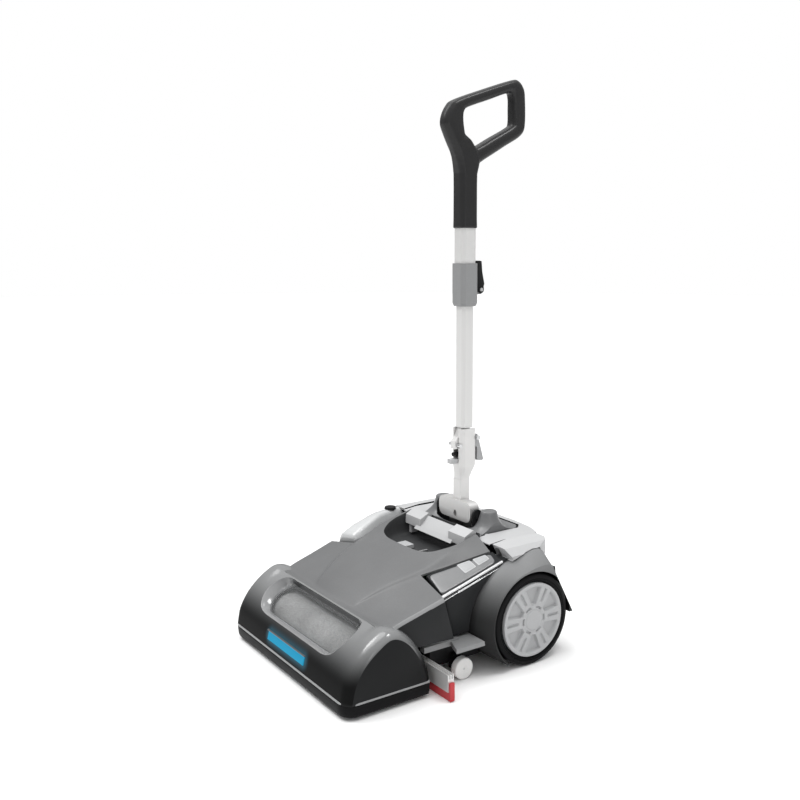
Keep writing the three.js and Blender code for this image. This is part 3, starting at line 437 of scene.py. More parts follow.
COVER = material("cover_grey", (0.108, 0.110, 0.112), 0.42, mottle=0.14)
LED_HALO = ((0.10, 0.30, 0.42), 0.34)
# Painted shade: low turns the head near-black and dulls its reflections toward the bottom.
HEAD = material("head_grey", (0.15, 0.153, 0.155), 0.24, coat=0.8, low=(126, 72, 0.05), halo=LED_HALO)
SKIRT = material("skirt_black", (0.006, 0.006, 0.0065), 0.42, shine=0.06, halo=LED_HALO)
END_SHADE = material("end_face_shade", (0.014, 0.0145, 0.015), 0.45, shine=0.06)
BEZEL = material("bezel_grey", (0.20, 0.203, 0.206), 0.2, coat=0.8)
CHANNEL = material("channel_grey", (0.050, 0.051, 0.053), 0.3, coat=0.3)
SHOULDER_HIGHLIGHT = material("shoulder_highlight", (0.21, 0.213, 0.216), 0.36)
LABEL_RIM = material("label_rim", (0.40, 0.405, 0.41), 0.4)
DARK_GLASS = material("strip_dark", (0.018, 0.0185, 0.02), 0.1, coat=0.8)
STEP_TOP = material("step_grey", (0.21, 0.213, 0.216), 0.45)
CHARCOAL = material("charcoal", (0.020, 0.021, 0.022), 0.45, shine=0.08)
# Painted shade: low darkens the fender and dulls its reflections toward the bottom.
FENDER = material("fender_grey", (0.185, 0.188, 0.19), 0.42, low=(206, 110, 0.16), shine=0.25)
BOWL = material("bowl_grey", (0.035, 0.036, 0.037), 0.42, shine=0.2)
HINGE = material("hinge_grey", (0.13, 0.132, 0.135), 0.34, coat=0.2)
TUBE = material(
    "tube_silver", (0.60, 0.598, 0.592), 0.3, metal=0.25, grain=0.02, stretch=(1, 1, 0.04), mottle=0.02,
    edge_wear_and_sheen=0.1)
BLACK = material("black_plastic", (0.006, 0.006, 0.0065), 0.42, shine=0.08)
RIDGE_HIGHLIGHT = material("skirt_ridge_highlight", (0.24, 0.243, 0.246), 0.3)
PALE = material("light_grey", (0.41, 0.413, 0.417), 0.4, mottle=0.04)
BUTTON = material("button_grey", (0.34, 0.345, 0.35), 0.4)
PLATE = material("plate_grey", (0.135, 0.137, 0.14), 0.22, coat=0.5)
BLUE = material(
    "led_blue", (0.004, 0.10, 0.17), 0.45, glow=((0.004, 0.30, 0.52), 0.62), edge_wear_and_sheen=0.02, shine=0.06)
CLEAR = material("clear", (0.85, 0.87, 0.88), 0.08, alpha=0.04, grain=0.01, edge_wear_and_sheen=0.02)
MILKY = material("translucent_white", (0.46, 0.467, 0.47), 0.2, coat=0.5, mottle=0.14)
EDGE_HIGHLIGHT = material("edge_highlight", (0.66, 0.665, 0.67), 0.16, metal=0.3, grain=0.02, coat=0.5)
WHITE = material("white_plastic", (0.72, 0.72, 0.71), 0.4, mottle=0.03)
TYRE = material("tyre_black", (0.004, 0.004, 0.0045), 0.4, grain=0.15, grain_scale=900, edge_wear_and_sheen=0.03, shine=0.07)
HUB = material("wheel_grey", (0.36, 0.364, 0.37), 0.4, mottle=0.04)
SILVER = material(
    "silver", (0.60, 0.596, 0.59), 0.34, metal=0.5, grain=0.02, stretch=(1, 1, 0.04), mottle=0.02, edge_wear_and_sheen=0.1)
STEEL = material("steel", (0.55, 0.555, 0.56), 0.28, metal=0.95, grain=0.06, stretch=(0.1, 1, 1))
GRIP = material("grip_black", (0.022, 0.022, 0.0225), 0.30, coat=0.08, grain=0.05, edge_wear_and_sheen=0.04, shine=0.14)
RED = material("blade_red", (0.45, 0.012, 0.02), 0.42)
GREEN = material("board_green", (0.04, 0.22, 0.09), 0.5)
FELT = material(
    "brush_fibre", (0.205, 0.207, 0.206), 0.95, mottle=0.75, grain=0.9, grain_scale=500, edge_wear_and_sheen=0.05, shine=0.1)


# ---- Head: drum housing, window bezel and pane, skirt, light strip ----
def crown(inward, drop, count=64):
    """The drum's side profile from its front foot to its back foot."""
    points = [
        (HEAD_FRONT + inward, HEAD_BASE), (-260 + inward, 60 - inward * 0.3),
        (-240 + inward * 0.7, 92 - inward * 0.7), (-209 + inward * 0.4, 119 - inward - drop * 0.6),
        (-177, 131 - inward - drop), (-140 - inward * 0.6, 113 - inward * 0.8 - drop * 0.6),
        (-109 - inward, 68 - inward * 0.3), (HEAD_BACK - inward, HEAD_BASE),
    ]
    return resample(spline(points, 10), count)


def crown_drop(x):
    return CROWN_DROP * (1 - ease((abs(x) - 158) / 28))


def crown_z(x, y):
    """Height of the drum's top at (x, y)."""
    return read(crown(0, crown_drop(x), 48), y, HEAD_BASE)


def drum(name, inward, end, foot):
    """The drum housing as a solid; the edges round its ends are partly rounded."""
    stations = [(x, 0) for x in (0, 50, 100, 140, 158, 163, 168, 173, 178, 182, 187)]
    start = end - END_ROUND * sin(radians(END_TURN))
    for k in range(11):
        turn = radians(END_TURN * k / 10)
        stations.append((start + END_ROUND * sin(turn), END_ROUND * (1 - cos(turn))))
    stations = [(-x, i) for x, i in reversed(stations[1:])] + stations
    rings = []
    for x, i in stations:
        profile = crown(i + inward, crown_drop(x))
        ring = [(x, p.x, p.y) for p in profile]
        rings.append(ring + [(x, profile[-1].x, foot), (x, profile[0].x, foot)])
    return skin(name, rings)


WINDOW_FOOT = Vector((-238, 75))
WINDOW_UP = Vector((0.7827, 0.6231))
WINDOW_OUT = Vector((-0.6231, 0.7827))
# Right halves of the bezel's two outlines on the window's plane: (across, up).
INNER_HALF = [
    (0, 0), (70, 0), (108, 0.5), (122, 6), (131, 18), (135.5, 34),
    (135, 48), (131, 60), (122, 65.8), (90, 66.2), (45, 66.2), (0, 66.2),
]
OUTER_HALF = [
    (0, -9), (70, -9), (110, -8.5), (131, -2), (143, 14), (148.5, 32),
    (147, 50), (140, 64), (129, 70.8), (98, 71.6), (50, 71.6), (0, 71.6),
]
CHANNEL_DEPTH = 8
SKIRT_PLAN = ((-215, -103), (-215, -252), (-199, -268), (199, -268), (215, -252), (215, -103))
# Sections of the skirt and of the pale line on top of it, a painted highlight along its ridge: (distance
# inward, z).
SKIRT_LEVELS = (
    (7, 26.4), (1.2, 26.4), (0.3, 25.8), (0, 24.6), (0, 19), (0.8, 12),
    (2.2, 7.4), (3.2, 6.2), (4.4, 6), (6.2, 6.2), (7, 7.5),
)
RIDGE_LEVELS = ((3, 30.2), (1.0, 30.1), (0.3, 29.6), (0, 28.8), (0, 27.4), (0.5, 26.7), (3, 26.6))
BROW_HALF, BROW_Y, BROW_Z = 71, -262.9, 60.2
BROW_SECTION = ((-1.0, -0.7), (-1.2, 0.2), (-0.4, 0.9), (1.5, 0.9), (1.5, -0.7))


def window_ring(half):
    return spline(half + [(-a, c) for a, c in reversed(half[1:-1])], 11, closed=True)


def on_window(a, c, h):
    p = WINDOW_FOOT + WINDOW_UP * c + WINDOW_OUT * h
    return (a, p.x, p.y)


def channel_floor(c):
    """Height of the bezel's inner edge over the window's plane: it sinks toward the top."""
    return -CHANNEL_DEPTH * ease((c - 25) / 41)


def drum_height(a, c):
    """How far the drum's surface stands out from the window's plane at (a, c)."""
    path = []
    for p in crown(0, crown_drop(a)):
        d = p - WINDOW_FOOT
        path.append((d.dot(WINDOW_UP), d.dot(WINDOW_OUT)))
    return read(path, c, path[0][1])


def build_head():
    shell = drum("head_shell", 0, HEAD_END, HEAD_BASE)
    cut(shell, drum("hollow", 4, HEAD_END - 5, HEAD_BASE - 8))
    inner, outer = window_ring(INNER_HALF), window_ring(OUTER_HALF)
    cut(shell, skin("hole", [[on_window(p.x, p.y, h) for p in outer] for h in (-30, 60)]))
    dress(soften(shell, 40), BODY, "head_grey", HEAD, "head_housing")
    # Painted shade: the drum's flat end faces are painted near-black.
    paint(shell, END_SHADE, lambda n, c: abs(n.x) > 0.96 and abs(c.x) > (HEAD_END - 1) * MM)

    heights = [drum_height(p.x, p.y) for p in outer]

    def ring(share, lift, grow=0.0, deep=None):
        """share runs from the bezel's outer outline to its inner one."""
        out = []
        for o, i, h in zip(outer, inner, heights):
            p = o.lerp(i, share) + (o - i).normalized() * grow
            low = channel_floor(i.y)
            out.append(on_window(p.x, p.y, lerp(h, low, share) + lift if deep is None else low + deep))
        return out

    rings = [ring(0, -3.0, 1.2), ring(0, -0.2, 1.0), ring(0, 0.5, 0.4), ring(0.05, 0.6), ring(0.12, 0.3)]
    for share in (0.25, 0.4, 0.55, 0.7, 0.85):
        rings.append(ring(share, 0.3 + 0.9 * sin(pi * (share - 0.12) / 0.86)))
    rings += [ring(0.94, 0.5), ring(0.985, 0.1), ring(1, -1.0), ring(1, 0, 0, -2.4), ring(1, 0, 3.0, -2.4)]
    bezel = dress(soften(skin("window_bezel", rings, wrap=True), 50), BODY, "head_grey", BEZEL)
    # Painted shade: the bezel's top band is painted dark for the shadow under the drum's upper edge.
    paint(bezel, CHANNEL, lambda n, c: c.z > 0.109 and abs(c.x) < 0.122)
    # Painted shade: the window's inner wall is black, for the shadow in the gap round the roller.
    wall = [ring(1, 0, 0.4, -2.5), ring(1, 0, 0.4, -9), ring(1, 0, 2.4, -9), ring(1, 0, 2.4, -2.5)]
    dress(soften(skin("window_wall", wall, wrap=True), 50), BODY, "head_grey", BLACK)
    # Painted shade: a black band round the window's inner edge, widest at the top, stands for the shadow
    # between roller and frame.
    shadow_band = []
    for inward, deep in ((False, -2.4), (True, -2.4), (True, -4.2), (False, -4.2)):
        loop = []
        for o, i in zip(outer, inner):
            width = lerp(1.2, 4.5, ease((i.y - 22) / 40)) + 1.2 * ease((-i.x - 90) / 40)
            p = i + (o - i).normalized() * (-width if inward else 0.4)
            loop.append(on_window(p.x, p.y, deep + channel_floor(i.y)))
        shadow_band.append(loop)
    dress(soften(skin("window_shadow_band", shadow_band, wrap=True), 50), BODY, "head_grey", BLACK)

    pane = skin("view_pane", [[on_window(p.x * 1.002, p.y, h) for p in inner] for h in (-1.2, -0.2)])
    dress(soften(pane), BODY, "clear", CLEAR, "window_pane")

    plan = rounded(SKIRT_PLAN, [4, 10, 10, 10, 10, 4], 5)
    plan = resample(plan[::-1], 220, closed=True)[::-1]

    def band(levels, name, look, slot, *nodes):
        rings = [[(p.x, p.y, z) for p in inset(plan, d)] for d, z in levels]
        dress(soften(skin(name, rings, wrap=True), 50), BODY, slot, look, *nodes)

    band(SKIRT_LEVELS, "skirt", SKIRT, "black_plastic", "bumper_skirt")
    # The ridge's pale grey is a painted highlight along the skirt's top edge.
    band(RIDGE_LEVELS, "skirt_ridge_highlight", RIDGE_HIGHLIGHT, "black_plastic")

    brow = []
    for k in range(25):
        x = -BROW_HALF + 2 * BROW_HALF * k / 24
        brow.append([(x, BROW_Y + dy, BROW_Z + dz) for dy, dz in BROW_SECTION])
    dress(soften(skin("light_brow", brow)), BODY, "head_grey", CHANNEL)


# ---- Cover, bowl and controls ----
def hood_top(x, y):
    """Height of the hood's crowned top at (x, y)."""
    share = min(1.0, abs(x) / at(HOOD_HALF, y))
    return at(HOOD_Z, y) + HOOD_CROWN * (1 - share ** 2)


def cover_section(y):
    half, edge = at(SHOULDER_HALF, y), at(SHOULDER_Z, y)
    foot, foot_z = at(HOOD_FOOT_HALF, y), at(HOOD_FOOT_Z, y)
    hood, top = at(HOOD_HALF, y), at(HOOD_Z, y)
    crown_points = [(hood * k / 8, top + HOOD_CROWN * (1 - (k / 8) ** 2)) for k in range(8)]
    corner = [
        crown_points[-1], (hood, top), (foot, foot_z), (half - 4.5, edge), (half, edge - 5.5),
        (half - 5, COVER_LOW)]
    bends = rounded(corner, [0, 4.5, 5, 1.6, 1.6, 0], 4, closed=False)
    run = [bends[10].lerp(bends[11], k / 7) for k in range(1, 7)]
    return [Vector(p) for p in crown_points[:-1]] + bends[:11] + run + bends[11:]


def raise_over_drum(x, y, z):
    """Near the front the cover lies on the drum's crown, inboard of its ears."""
    if y > -140 or abs(x) > 176:
        return z
    over = crown_z(x, y) + 0.25
    over = lerp(over, z, ease((abs(x) - 166) / 10))
    soft = 3.0
    gap = z - over
    if gap > soft:
        return z
    if gap < -soft:
        return over
    return over + (gap + soft) ** 2 / (4 * soft)


def tank_front(x, z):
    return -38 + 0.17 * (200 - abs(x)) - 32 * (z - TANK_LOW) / 111


def bowl_plan(inward):
    half, front = 104 - inward, -21 + inward
    front_edge = [(half, 36), (half - 6, 16), (half - 22, -6), (half - 46, -17), (28, front), (-28, front),
                  (-half + 46, -17), (-half + 22, -6), (-half + 6, 16), (-half, 36)]
    arc = resample(spline(front_edge, 10), 60)
    return arc + [Vector((-half, 86 - inward)), Vector((half, 86 - inward))]


# The bowl's wall: (distance inward, share of its depth).
BOWL_WALL = (
    (0.15, 0), (0.5, 0.02), (1.4, 0.1), (2.6, 0.25), (4.5, 0.5), (7.5, 0.75), (11, 0.9), (16, 0.98), (22, 1),
)


def build_cover():
    rows = [*range(-181, -165, 3), *range(-162, -149, 4), -145, -140, -134, -128, -120]
    rows += [*range(-112, COVER_BACK, 8), COVER_BACK]
    rings = []
    for y in rows:
        right = cover_section(y)
        right = [Vector((p.x, raise_over_drum(p.x, y, p.y) if p.y > COVER_LOW + 25 else p.y)) for p in right]
        full = [Vector((-p.x, p.y)) for p in reversed(right[1:])] + right
        rings.append([(p.x, y, p.y) for p in full])
    shell = skin("cover_shell", rings, closed=False, caps=False)
    thick = shell.modifiers.new("thick", "SOLIDIFY")
    thick.thickness = 3 * MM
    thick.offset = -1
    bake(shell)
    for _, side in SIDES:
        cutter = []
        for y in (None, -10, 30, 76, 100):
            corners = []
            for edge, z in (("in", 20), ("out", 20), ("out", 245), ("in", 245)):
                x = 118 if edge == "in" else 232
                depth = tank_front(x, z) - TANK_GAP if y is None else y
                if edge == "in":
                    x = at(HOOD_FOOT_HALF, depth) + 0.6
                corners.append((side * x, depth, z))
            cutter.append(corners)
        cut(shell, skin("tank_room", cutter))
    cut(shell, prism("bowl_room", "z", bowl_plan(0), 120, 320))
    dress(soften(shell, 38), BODY, "cover_grey", COVER, "top_cover")
    # Painted shade: the cover's steep side walls are painted charcoal, darker than its lit top.
    paint(shell, CHARCOAL, lambda n, c: abs(n.x) > 0.93 and abs(c.x) > 0.15)
    # Painted highlight: the sloping chamfer at the shoulder's edge is painted paler.
    paint(shell, SHOULDER_HIGHLIGHT, lambda n, c: 0.2 < n.z < 0.86 and abs(c.x) > 0.178 and c.z < 0.175)

    rings = []
    for inward, share in BOWL_WALL:
        ring = []
        for p in bowl_plan(inward):
            rim = hood_top(p.x, min(p.y, COVER_BACK)) - 0.6
            ring.append((p.x, p.y, lerp(rim, BOWL_FLOOR, share)))
        rings.append(ring)
    outside = [[(p.x, p.y, z) for (_, _, z), p in zip(rings[0], bowl_plan(0.1))],
               [(p.x, p.y, BOWL_FLOOR - 3) for p in bowl_plan(0.1)]]
    dress(soften(skin("bowl", rings[::-1] + outside), 50), BODY, "charcoal", BOWL, "recess_bowl")


# ---- Saddle tanks ----
# Strips along the right tank's edge: (top, base and reach from the edge, first y, last y, look).
# The bright strips are painted highlights along the clear edge; the short wide one is a painted reflection.
TANK_STRIPS = (
    (0.9, -2.2, 0.5, -56, 78, EDGE_HIGHLIGHT), (-2.2, -6.8, 0.2, -56, 78, DARK_GLASS),
    (-6.8, -8.0, 0.5, -58, 78, EDGE_HIGHLIGHT), (-5.6, -8.4, 0.8, -22, 26, EDGE_HIGHLIGHT),
)


def tank_crest(y):
    return at(HOOD_FOOT_Z, y) - 1


def tank_inner(y):
    return at(HOOD_FOOT_HALF, y) + TANK_GAP


def tank_top(x, y):
    return tank_crest(y) - TANK_SLOPE * (abs(x) - tank_inner(y))


def tank_height(y, side):
    return at(DOME_Z, y) if side < 0 else tank_crest(y)


def tank_outline(y, side):
    """A tank's cross-section on (x, z): the right one slopes outward, the left one rises to a dome."""
    inner, crest, edge = tank_inner(y), tank_crest(y), tank_top(TANK_OUTER - 3, y)
    low = [(inner, TANK_LOW), (TANK_OUTER - 8, TANK_LOW)]
    if side > 0:
        high = [(TANK_OUTER, edge - 14), (TANK_OUTER - 3, edge), (inner, crest)]
        return rounded(low + high, [2, 3, 2.5, 2.5, 2], 5)
    dome = at(DOME_Z, y)
    high = [(TANK_OUTER, dome - 40), (TANK_OUTER - 5, dome - 16), (TANK_OUTER - 17, dome), (inner + 6, dome)]
    return rounded(low + high + [(inner, crest)], [2, 3, 14, 9, 10, 8, 2], 5)


def tank_ring(y, side, inward=0.0, back=None):
    """One ring of a tank; with back set it lies on the leaning front, that far behind the seam."""
    points = inset(tank_outline(y, side), inward)
    if back is None:
        return [(side * p.x, y, p.y) for p in points]
    ring = []
    for p in points:
        depth = tank_front(p.x, p.y) + back
        z = p.y + (tank_height(depth, side) - tank_height(y, side)) * ease((p.y - 120) / 30)
        x = p.x + (tank_inner(depth) - tank_inner(y)) * ease((150 - p.x) / 30)
        ring.append((side * x, tank_front(x, z) + back, z))
    return ring


def build_tanks():
    for name, side in SIDES:
        rings = [tank_ring(-50, side, inward, back) for inward, back in TANK_NOSE]
        rings += [tank_ring(y, side) for y in (-26, -14, -2, 10, 24, 40, 58, 76, 100)]
        tank = skin(f"tank_{name}", rings)
        well = [round_wheel(TANK_WELL, radians(degrees)) for degrees in range(104, 266, 3)]
        well = [(y, z) for y, z in well if z > 60]
        arch = [(79, 260), (79, 192)] + well + [(40, 20), (300, 20), (300, 260)]
        cut(tank, prism("arch", "x", arch, side * 90, side * 240))
        soften(tank, 38)
        if side < 0:
            dress(tank, "left_tank", "translucent_white", MILKY, "clean_tank")
        else:
            dress(tank, "right_tank", "charcoal", CHARCOAL, "recovery_tank")
    build_label_plate()


def build_label_plate():
    plan = [(tank_inner(-45) + 5, -45), (174, -52), (174, 68), (tank_inner(74) + 5, 72)]
    plan = resample(rounded(plan, [8, 7, 9, 6], 6), 120, closed=True)
    rings = []
    for inward, lift in ((1.5, -1.5), (0.2, -0.6), (0, 0.3), (0.4, 1.1), (1.3, 1.6), (2.6, 1.8), (4, 1.8)):
        rings.append([(p.x, p.y, tank_top(p.x, p.y) + lift) for p in inset(plan, inward)])
    dress(soften(skin("tank_plate", rings), 50), "right_tank", "button_grey", PLATE, "tank_label_plate")
    for k, y in enumerate((8, 38)):
        for part, margin, base, look in (("rim", 0, 1.4, LABEL_RIM), ("face", 2.0, 1.9, BUTTON)):
            blank = []
            for inward, lift in ((0, 0), (0.1, 0.6), (0.4, 0.75)):
                near, far = y + margin + inward, y + 25 - margin - inward
                low, high = 134 + margin + inward, 162 - margin - inward
                quad = rounded(
                    [(low + 0.24 * near, near), (high, near), (high, far), (low + 0.24 * far, far)], 2.5, 3)
                blank.append([(p.x, p.y, tank_top(p.x, p.y) + base + lift) for p in quad])
            dress(soften(skin(f"blank_{part}_{k}", blank), 50), "right_tank", "button_grey", look)

    for part, (top, base, out, first, last, look) in enumerate(TANK_STRIPS):
        rings = []
        count = max(2, round((last - first) / 5))
        for k in range(count + 1):
            y = lerp(first, last, k / count)
            edge = tank_top(TANK_OUTER - 3, y)
            reach = TANK_OUTER - 3 + out
            outline = [
                (TANK_OUTER - 7, edge + top), (reach - top * 0.21, edge + top),
                (reach - base * 0.21, edge + base), (TANK_OUTER - 7, edge + base)]
            rings.append([(p.x, y, p.y) for p in rounded(outline, [0.2, 0.8, 0.8, 0.2], 3)])
        dress(soften(skin(f"tank_strip_{part}", rings), 50), "right_tank", "button_grey", look)


# ---- Fenders, rear deck and hinge cover ----
# The top of a fender's straight rear edge, 170 mm and 220 mm from the middle of the machine.
TAIL_TOP_Y, TAIL_TOP_Z = (185.5, 139.5), (197.0, 218.6)
TAIL_DOWN = Vector((0.473, -0.881))
FENDER_STEPS = 66


def fender_ring(share):
    """A fender's section: its outer edge from front to rear, then the wheel well's edge back."""
    outer = []
    for k in range(FENDER_STEPS + 1):
        degrees = lerp(231, -3, k / FENDER_STEPS)
        angle = radians(degrees)
        low = max(0, min(1, (degrees - 190) / 41))
        rear = max(0, min(1, (100 - degrees) / 30))
        rear_line = 95.5 / max(0.2, cos(angle - radians(29.3)))
        full = lerp(lerp(FENDER_CROWN, 92, low), min(124, rear_line), rear)
        radius = lerp(full, max(FENDER_LIP, lerp(FENDER_LIP, full, rear * 0.35)), share)
        outer.append(round_wheel(radius, angle))
    turns = [radians(lerp(-3, 231, k / FENDER_STEPS)) for k in range(FENDER_STEPS + 1)]
    return outer + [round_wheel(FENDER_WELL, turn) for turn in turns]


def tail_ring(side, x):
    """Half-plane behind the fender: its straight rear edge leans inward toward the outside of the machine."""
    y, z = lerp(*TAIL_TOP_Y, (x - 170) / 50), lerp(*TAIL_TOP_Z, (x - 170) / 50)
    top, low = Vector((y, z)) - 90 * TAIL_DOWN, Vector((y, z)) + 260 * TAIL_DOWN
    corners = (top.x, top.y), (low.x, low.y), (low.x + 200, low.y), (top.x + 200, top.y)
    return [(side * x, *corner) for corner in corners]


def trim_tail(obj, side):
    cut(obj, skin("tail_plane", [tail_ring(side, x) for x in (150, 240)]))


def build_fenders():
    for name, side in SIDES:
        rings = []
        for x in (168, 172, 178, 184, *range(188, 216, 3), 217.5, 219.2, 220):
            share = max(0.0, (x - 186) / 34) ** 1.35
            rings.append([(side * x, y, z) for y, z in fender_ring(min(1, share))])
        arch = skin(f"fender_arch_{name}", rings)
        trim_tail(arch, side)
        dress(soften(arch, 42), BODY, "charcoal", FENDER, f"fender_{name}")
        hub = Vector((0, WHEEL_Y, WHEEL_Z)) * MM
        # Painted shade: faces of the arch turned toward the wheel are painted black for the dark wheel well.
        paint(arch, BLACK, lambda n, c: n.dot(Vector((0, c.y - hub.y, c.z - hub.z)).normalized()) < -0.5)
        outline = fender_ring(0)[:FENDER_STEPS + 1]
        wall = prism(f"fender_wall_{name}", "x", outline, side * 168.2, side * 171.8)
        trim_tail(wall, side)
        cut(wall, prism("axle_hole", "x", circle(WHEEL_Y, WHEEL_Z, 14, 36), side * 160, side * 180))
        dress(soften(wall), BODY, "charcoal", BLACK)


# Height of the hinge cover's bosses against the distance from their middle.
BOSS = [
    (0, 37.1), (13.2, 37.1), (14.6, 36.5), (15.6, 34.8), (16.4, 31.5), (18.2, 25), (21.5, 17), (27, 9.5),
    (34, 4.2), (42, 1.0), (49, 0),
]


def deck_z(y):
    return min(214.0, 211 + (y - 80) / 10)


# Plan of what is cut away at the rear corners.
REAR_CORNER = ((120, 212), (150, 201), (176, 184), (186, 160), (193, 120), (260, 120), (260, 300), (120, 300))


def twin(name, node):
    """A new object with the mesh of a CAD node."""
    data = NODES[node].data.copy()
    data.transform(NODES[node].matrix_world)
    return add(name, data)


def cut_seam(obj, side, near, far):
    cut(obj, block("seam", *sorted((side * near, side * far)), 60, 240, 100, 260))


def in_seam(n, c):
    return abs(n.x) > 0.5 and abs(c.x) > 0.13 or abs(n.z) < 0.8 and abs(c.x) < 0.1 and c.y < 0.205


def build_deck():
    """The light rear body, with wide dark seams between its three parts."""
    bpy.context.view_layer.update()
    deck = twin("deck_shell", "rear_deck")
    cut(deck, block("front", -97.6, 97.6, 70, 104, 140, 260))
    for name, side in SIDES:
        cut_seam(deck, side, 141.2, 152)
        cover = twin(f"deck_wing_{name}", f"rear_cover_{name}")
        cut_seam(cover, side, 130, 144.6)
        cut(cover, prism("corner", "z", [(side * x, y) for x, y in REAR_CORNER], 100, 300))
        bevel(cover, 2.0, 3, 30)
        bake(cover)
        dress(cover, BODY, "light_grey", PALE, f"rear_cover_{name}")
        paint(cover, BLACK, lambda n, c: n.x * side < -0.5)
    bevel(deck, 1.4, 3, 30)
    bake(deck)
    dress(deck, BODY, "light_grey", PALE, "rear_deck")
    paint(deck, BLACK, in_seam)


def build_hinge_cover():
    rows = []
    for k in range(120):
        y = lerp(84, 197.5, k / 119)
        top = []
        for i in range(200):
            x = lerp(-96, 96, i / 199)
            rise = max(at(BOSS, min(49, math.hypot(x - centre, y - 132))) for centre in (-73, 73))
            top.append((x, y, deck_z(y) - 1.1 + rise))
        rows.append(top + [(96, y, 206), (-96, y, 206)])
    cover = skin("boss_cover", rows)
    plan = [(-94.6, 84.6), (94.6, 84.6), (94.6, 180), (81, 195.4), (-81, 195.4), (-94.6, 180)]
    cut(cover, prism("plan", "z", rounded(plan, [2, 2, 8, 8, 8, 8], 5), 190, 270), "INTERSECT")
    cut(cover, prism("slot", "z", rounded(rectangle(-61, 61, 104, 152), 5, 4), 190, 300))
    dress(soften(cover, 50), BODY, "charcoal", HINGE, "hinge_cover")


# ---- Wheels, rollers and brush ----
# Section of a tyre: (radius, x).
TYRE_SECTION = (
    (67.3, 181), (
        67.3, 214.5), (73.2, 217.6), (74.2, 216.4), (75.4, 217.9), (83.2, 217), (85, 209), (85, 186),
    (80, 178.2), (72, 177.5),
)
# Radii of the wheel face's rings, close together where its relief is steep.
FACE_RADII = (
    0.5, 10, 16, 17.5, 18.6, 19.4, 20.5, 21.5, 22.3, 23, 24, 25, 25.8, 26.6, 27.5, 28.5, 29.5, 30.5,
    *range(32, 39, 2), *range(41, 54, 3), 55, *(56.5 + k for k in range(7)), 63.6, 64.6, 65.6, 66.4, 67,
)
SPOKES = 6


def spoke_depth(radius, angle):
    """How far the wheel's face is pressed in: panels between six double spokes."""
    turn = (angle / (2 * pi) * SPOKES + 0.5) % 1.0 - 0.5
    across = abs(turn) * 2 * pi / SPOKES * radius
    spoke = 8.5 + (radius - 20) * 0.10
    panel = ease((across - spoke) / 2.4)
    ring = ease((radius - 27) / 3) * (1 - ease((radius - 57) / 4.5))
    slot = (1 - ease((across - 1.7) / 1.6)) * ease((radius - 33) / 4) * (1 - ease((radius - 58) / 3))
    pocket = (1 - ease((across - 5.0) / 2.0)) * ease((radius - 21.5) / 1.5) * (1 - ease((radius - 25) / 1.5))
    return 6.5 * panel * ring + 3.4 * slot + 3.2 * pocket


def middle_of(low, high):
    """(y, z) of a box's middle, in millimetres."""
    return (low.y + high.y) / 2 / MM, (low.z + high.z) / 2 / MM


def face_profile(angle):
    """The wheel's face, from its hub to its rim, and its back."""
    front = []
    for radius in FACE_RADII:
        base = 219.6 + 1.2 * (1 - (radius / 67) ** 2)
        if radius > 62:
            base += 0.9 * sin(pi * (radius - 62) / 5.2)
        depth = spoke_depth(radius, angle)
        if radius < 18.6:
            depth = -0.5
        elif radius < 20.5:
            depth = 0.6
        front.append((radius, base - depth))
    return front + [(67, 206), (60, 206), (58, 211), (0.5, 211)]


def build_wheel(name, side):
    tyre = rounded(TYRE_SECTION, [1, 2, 0.5, 0.5, 1, 3, 5, 6, 4, 3], 5)
    tread = lathe(f"tyre_ring_{name}", lambda _: tyre, WHEEL_Y, WHEEL_Z, side, 128)
    dress(soften(tread, 45), f"{name}_wheel", "tyre_black", TYRE, f"tyre_{name}")

    face = lathe(f"wheel_face_{name}", face_profile, WHEEL_Y, WHEEL_Z, side, 360)
    dress(soften(face, 50), f"{name}_wheel", "wheel_grey", HUB, f"wheel_disc_{name}")


def build_roller(name, side):
    low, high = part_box(f"guide_roller_{name}")
    y, z = middle_of(low, high)
    inner, outer = sorted((abs(low.x) / MM, abs(high.x) / MM))
    roll = [(2, inner), (19.3, inner), (19.3, outer), (6, outer + 0.01), (5.2, outer - 0.8), (2, outer - 0.8)]
    roll = rounded(roll, [0.3, 2.2, 2.8, 0.5, 0.4, 0.2], 4)
    wheel = lathe(f"roller_{name}", lambda _: roll, y, z, side, 64)
    dress(soften(wheel, 45), f"{name}_roller", "white_plastic", WHITE, f"guide_roller_{name}")
    head = [(r, outer + x) for r, x in ((0.2, -3), (1.9, -3), (1.9, -0.6), (1.5, -0.3), (0.2, -0.3))]
    screw = lathe(f"roller_screw_{name}", lambda _: head, y, z, side, 24)
    dress(soften(screw, 45), f"{name}_roller", "steel", STEEL)


def build_brush():
    low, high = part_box("brush_sleeve")
    y, z = middle_of(low, high)
    radius = (high.z - low.z) / 2 / MM
    half = high.x / MM
    rings = []
    steps = 150
    for k in range(220):
        angle = 2 * pi * k / 220
        ring = []
        for i in range(steps + 1):
            x = lerp(-half, half, i / steps)
            pile = sin(i * 12.9898 + k * 78.233) * 43758.5453
            tuft = (pile - math.floor(pile)) * 0.7
            wave = 0.5 * sin(x * 0.11 + 2.2 * sin(angle * 3))
            r = radius - 1.3 + tuft * 0.8 + wave * 0.5
            ring.append((x, y + r * cos(angle), z + r * sin(angle)))
        core = (y + 23 * cos(angle), z + 23 * sin(angle))
        ring += [(half, *core), (-half, *core)]
        rings.append(ring)
    pile = skin("roller_pile", rings, wrap=True)
    pile.data.shade_smooth()
    dress(pile, "brush", "brush_fibre", FELT, "brush_sleeve")


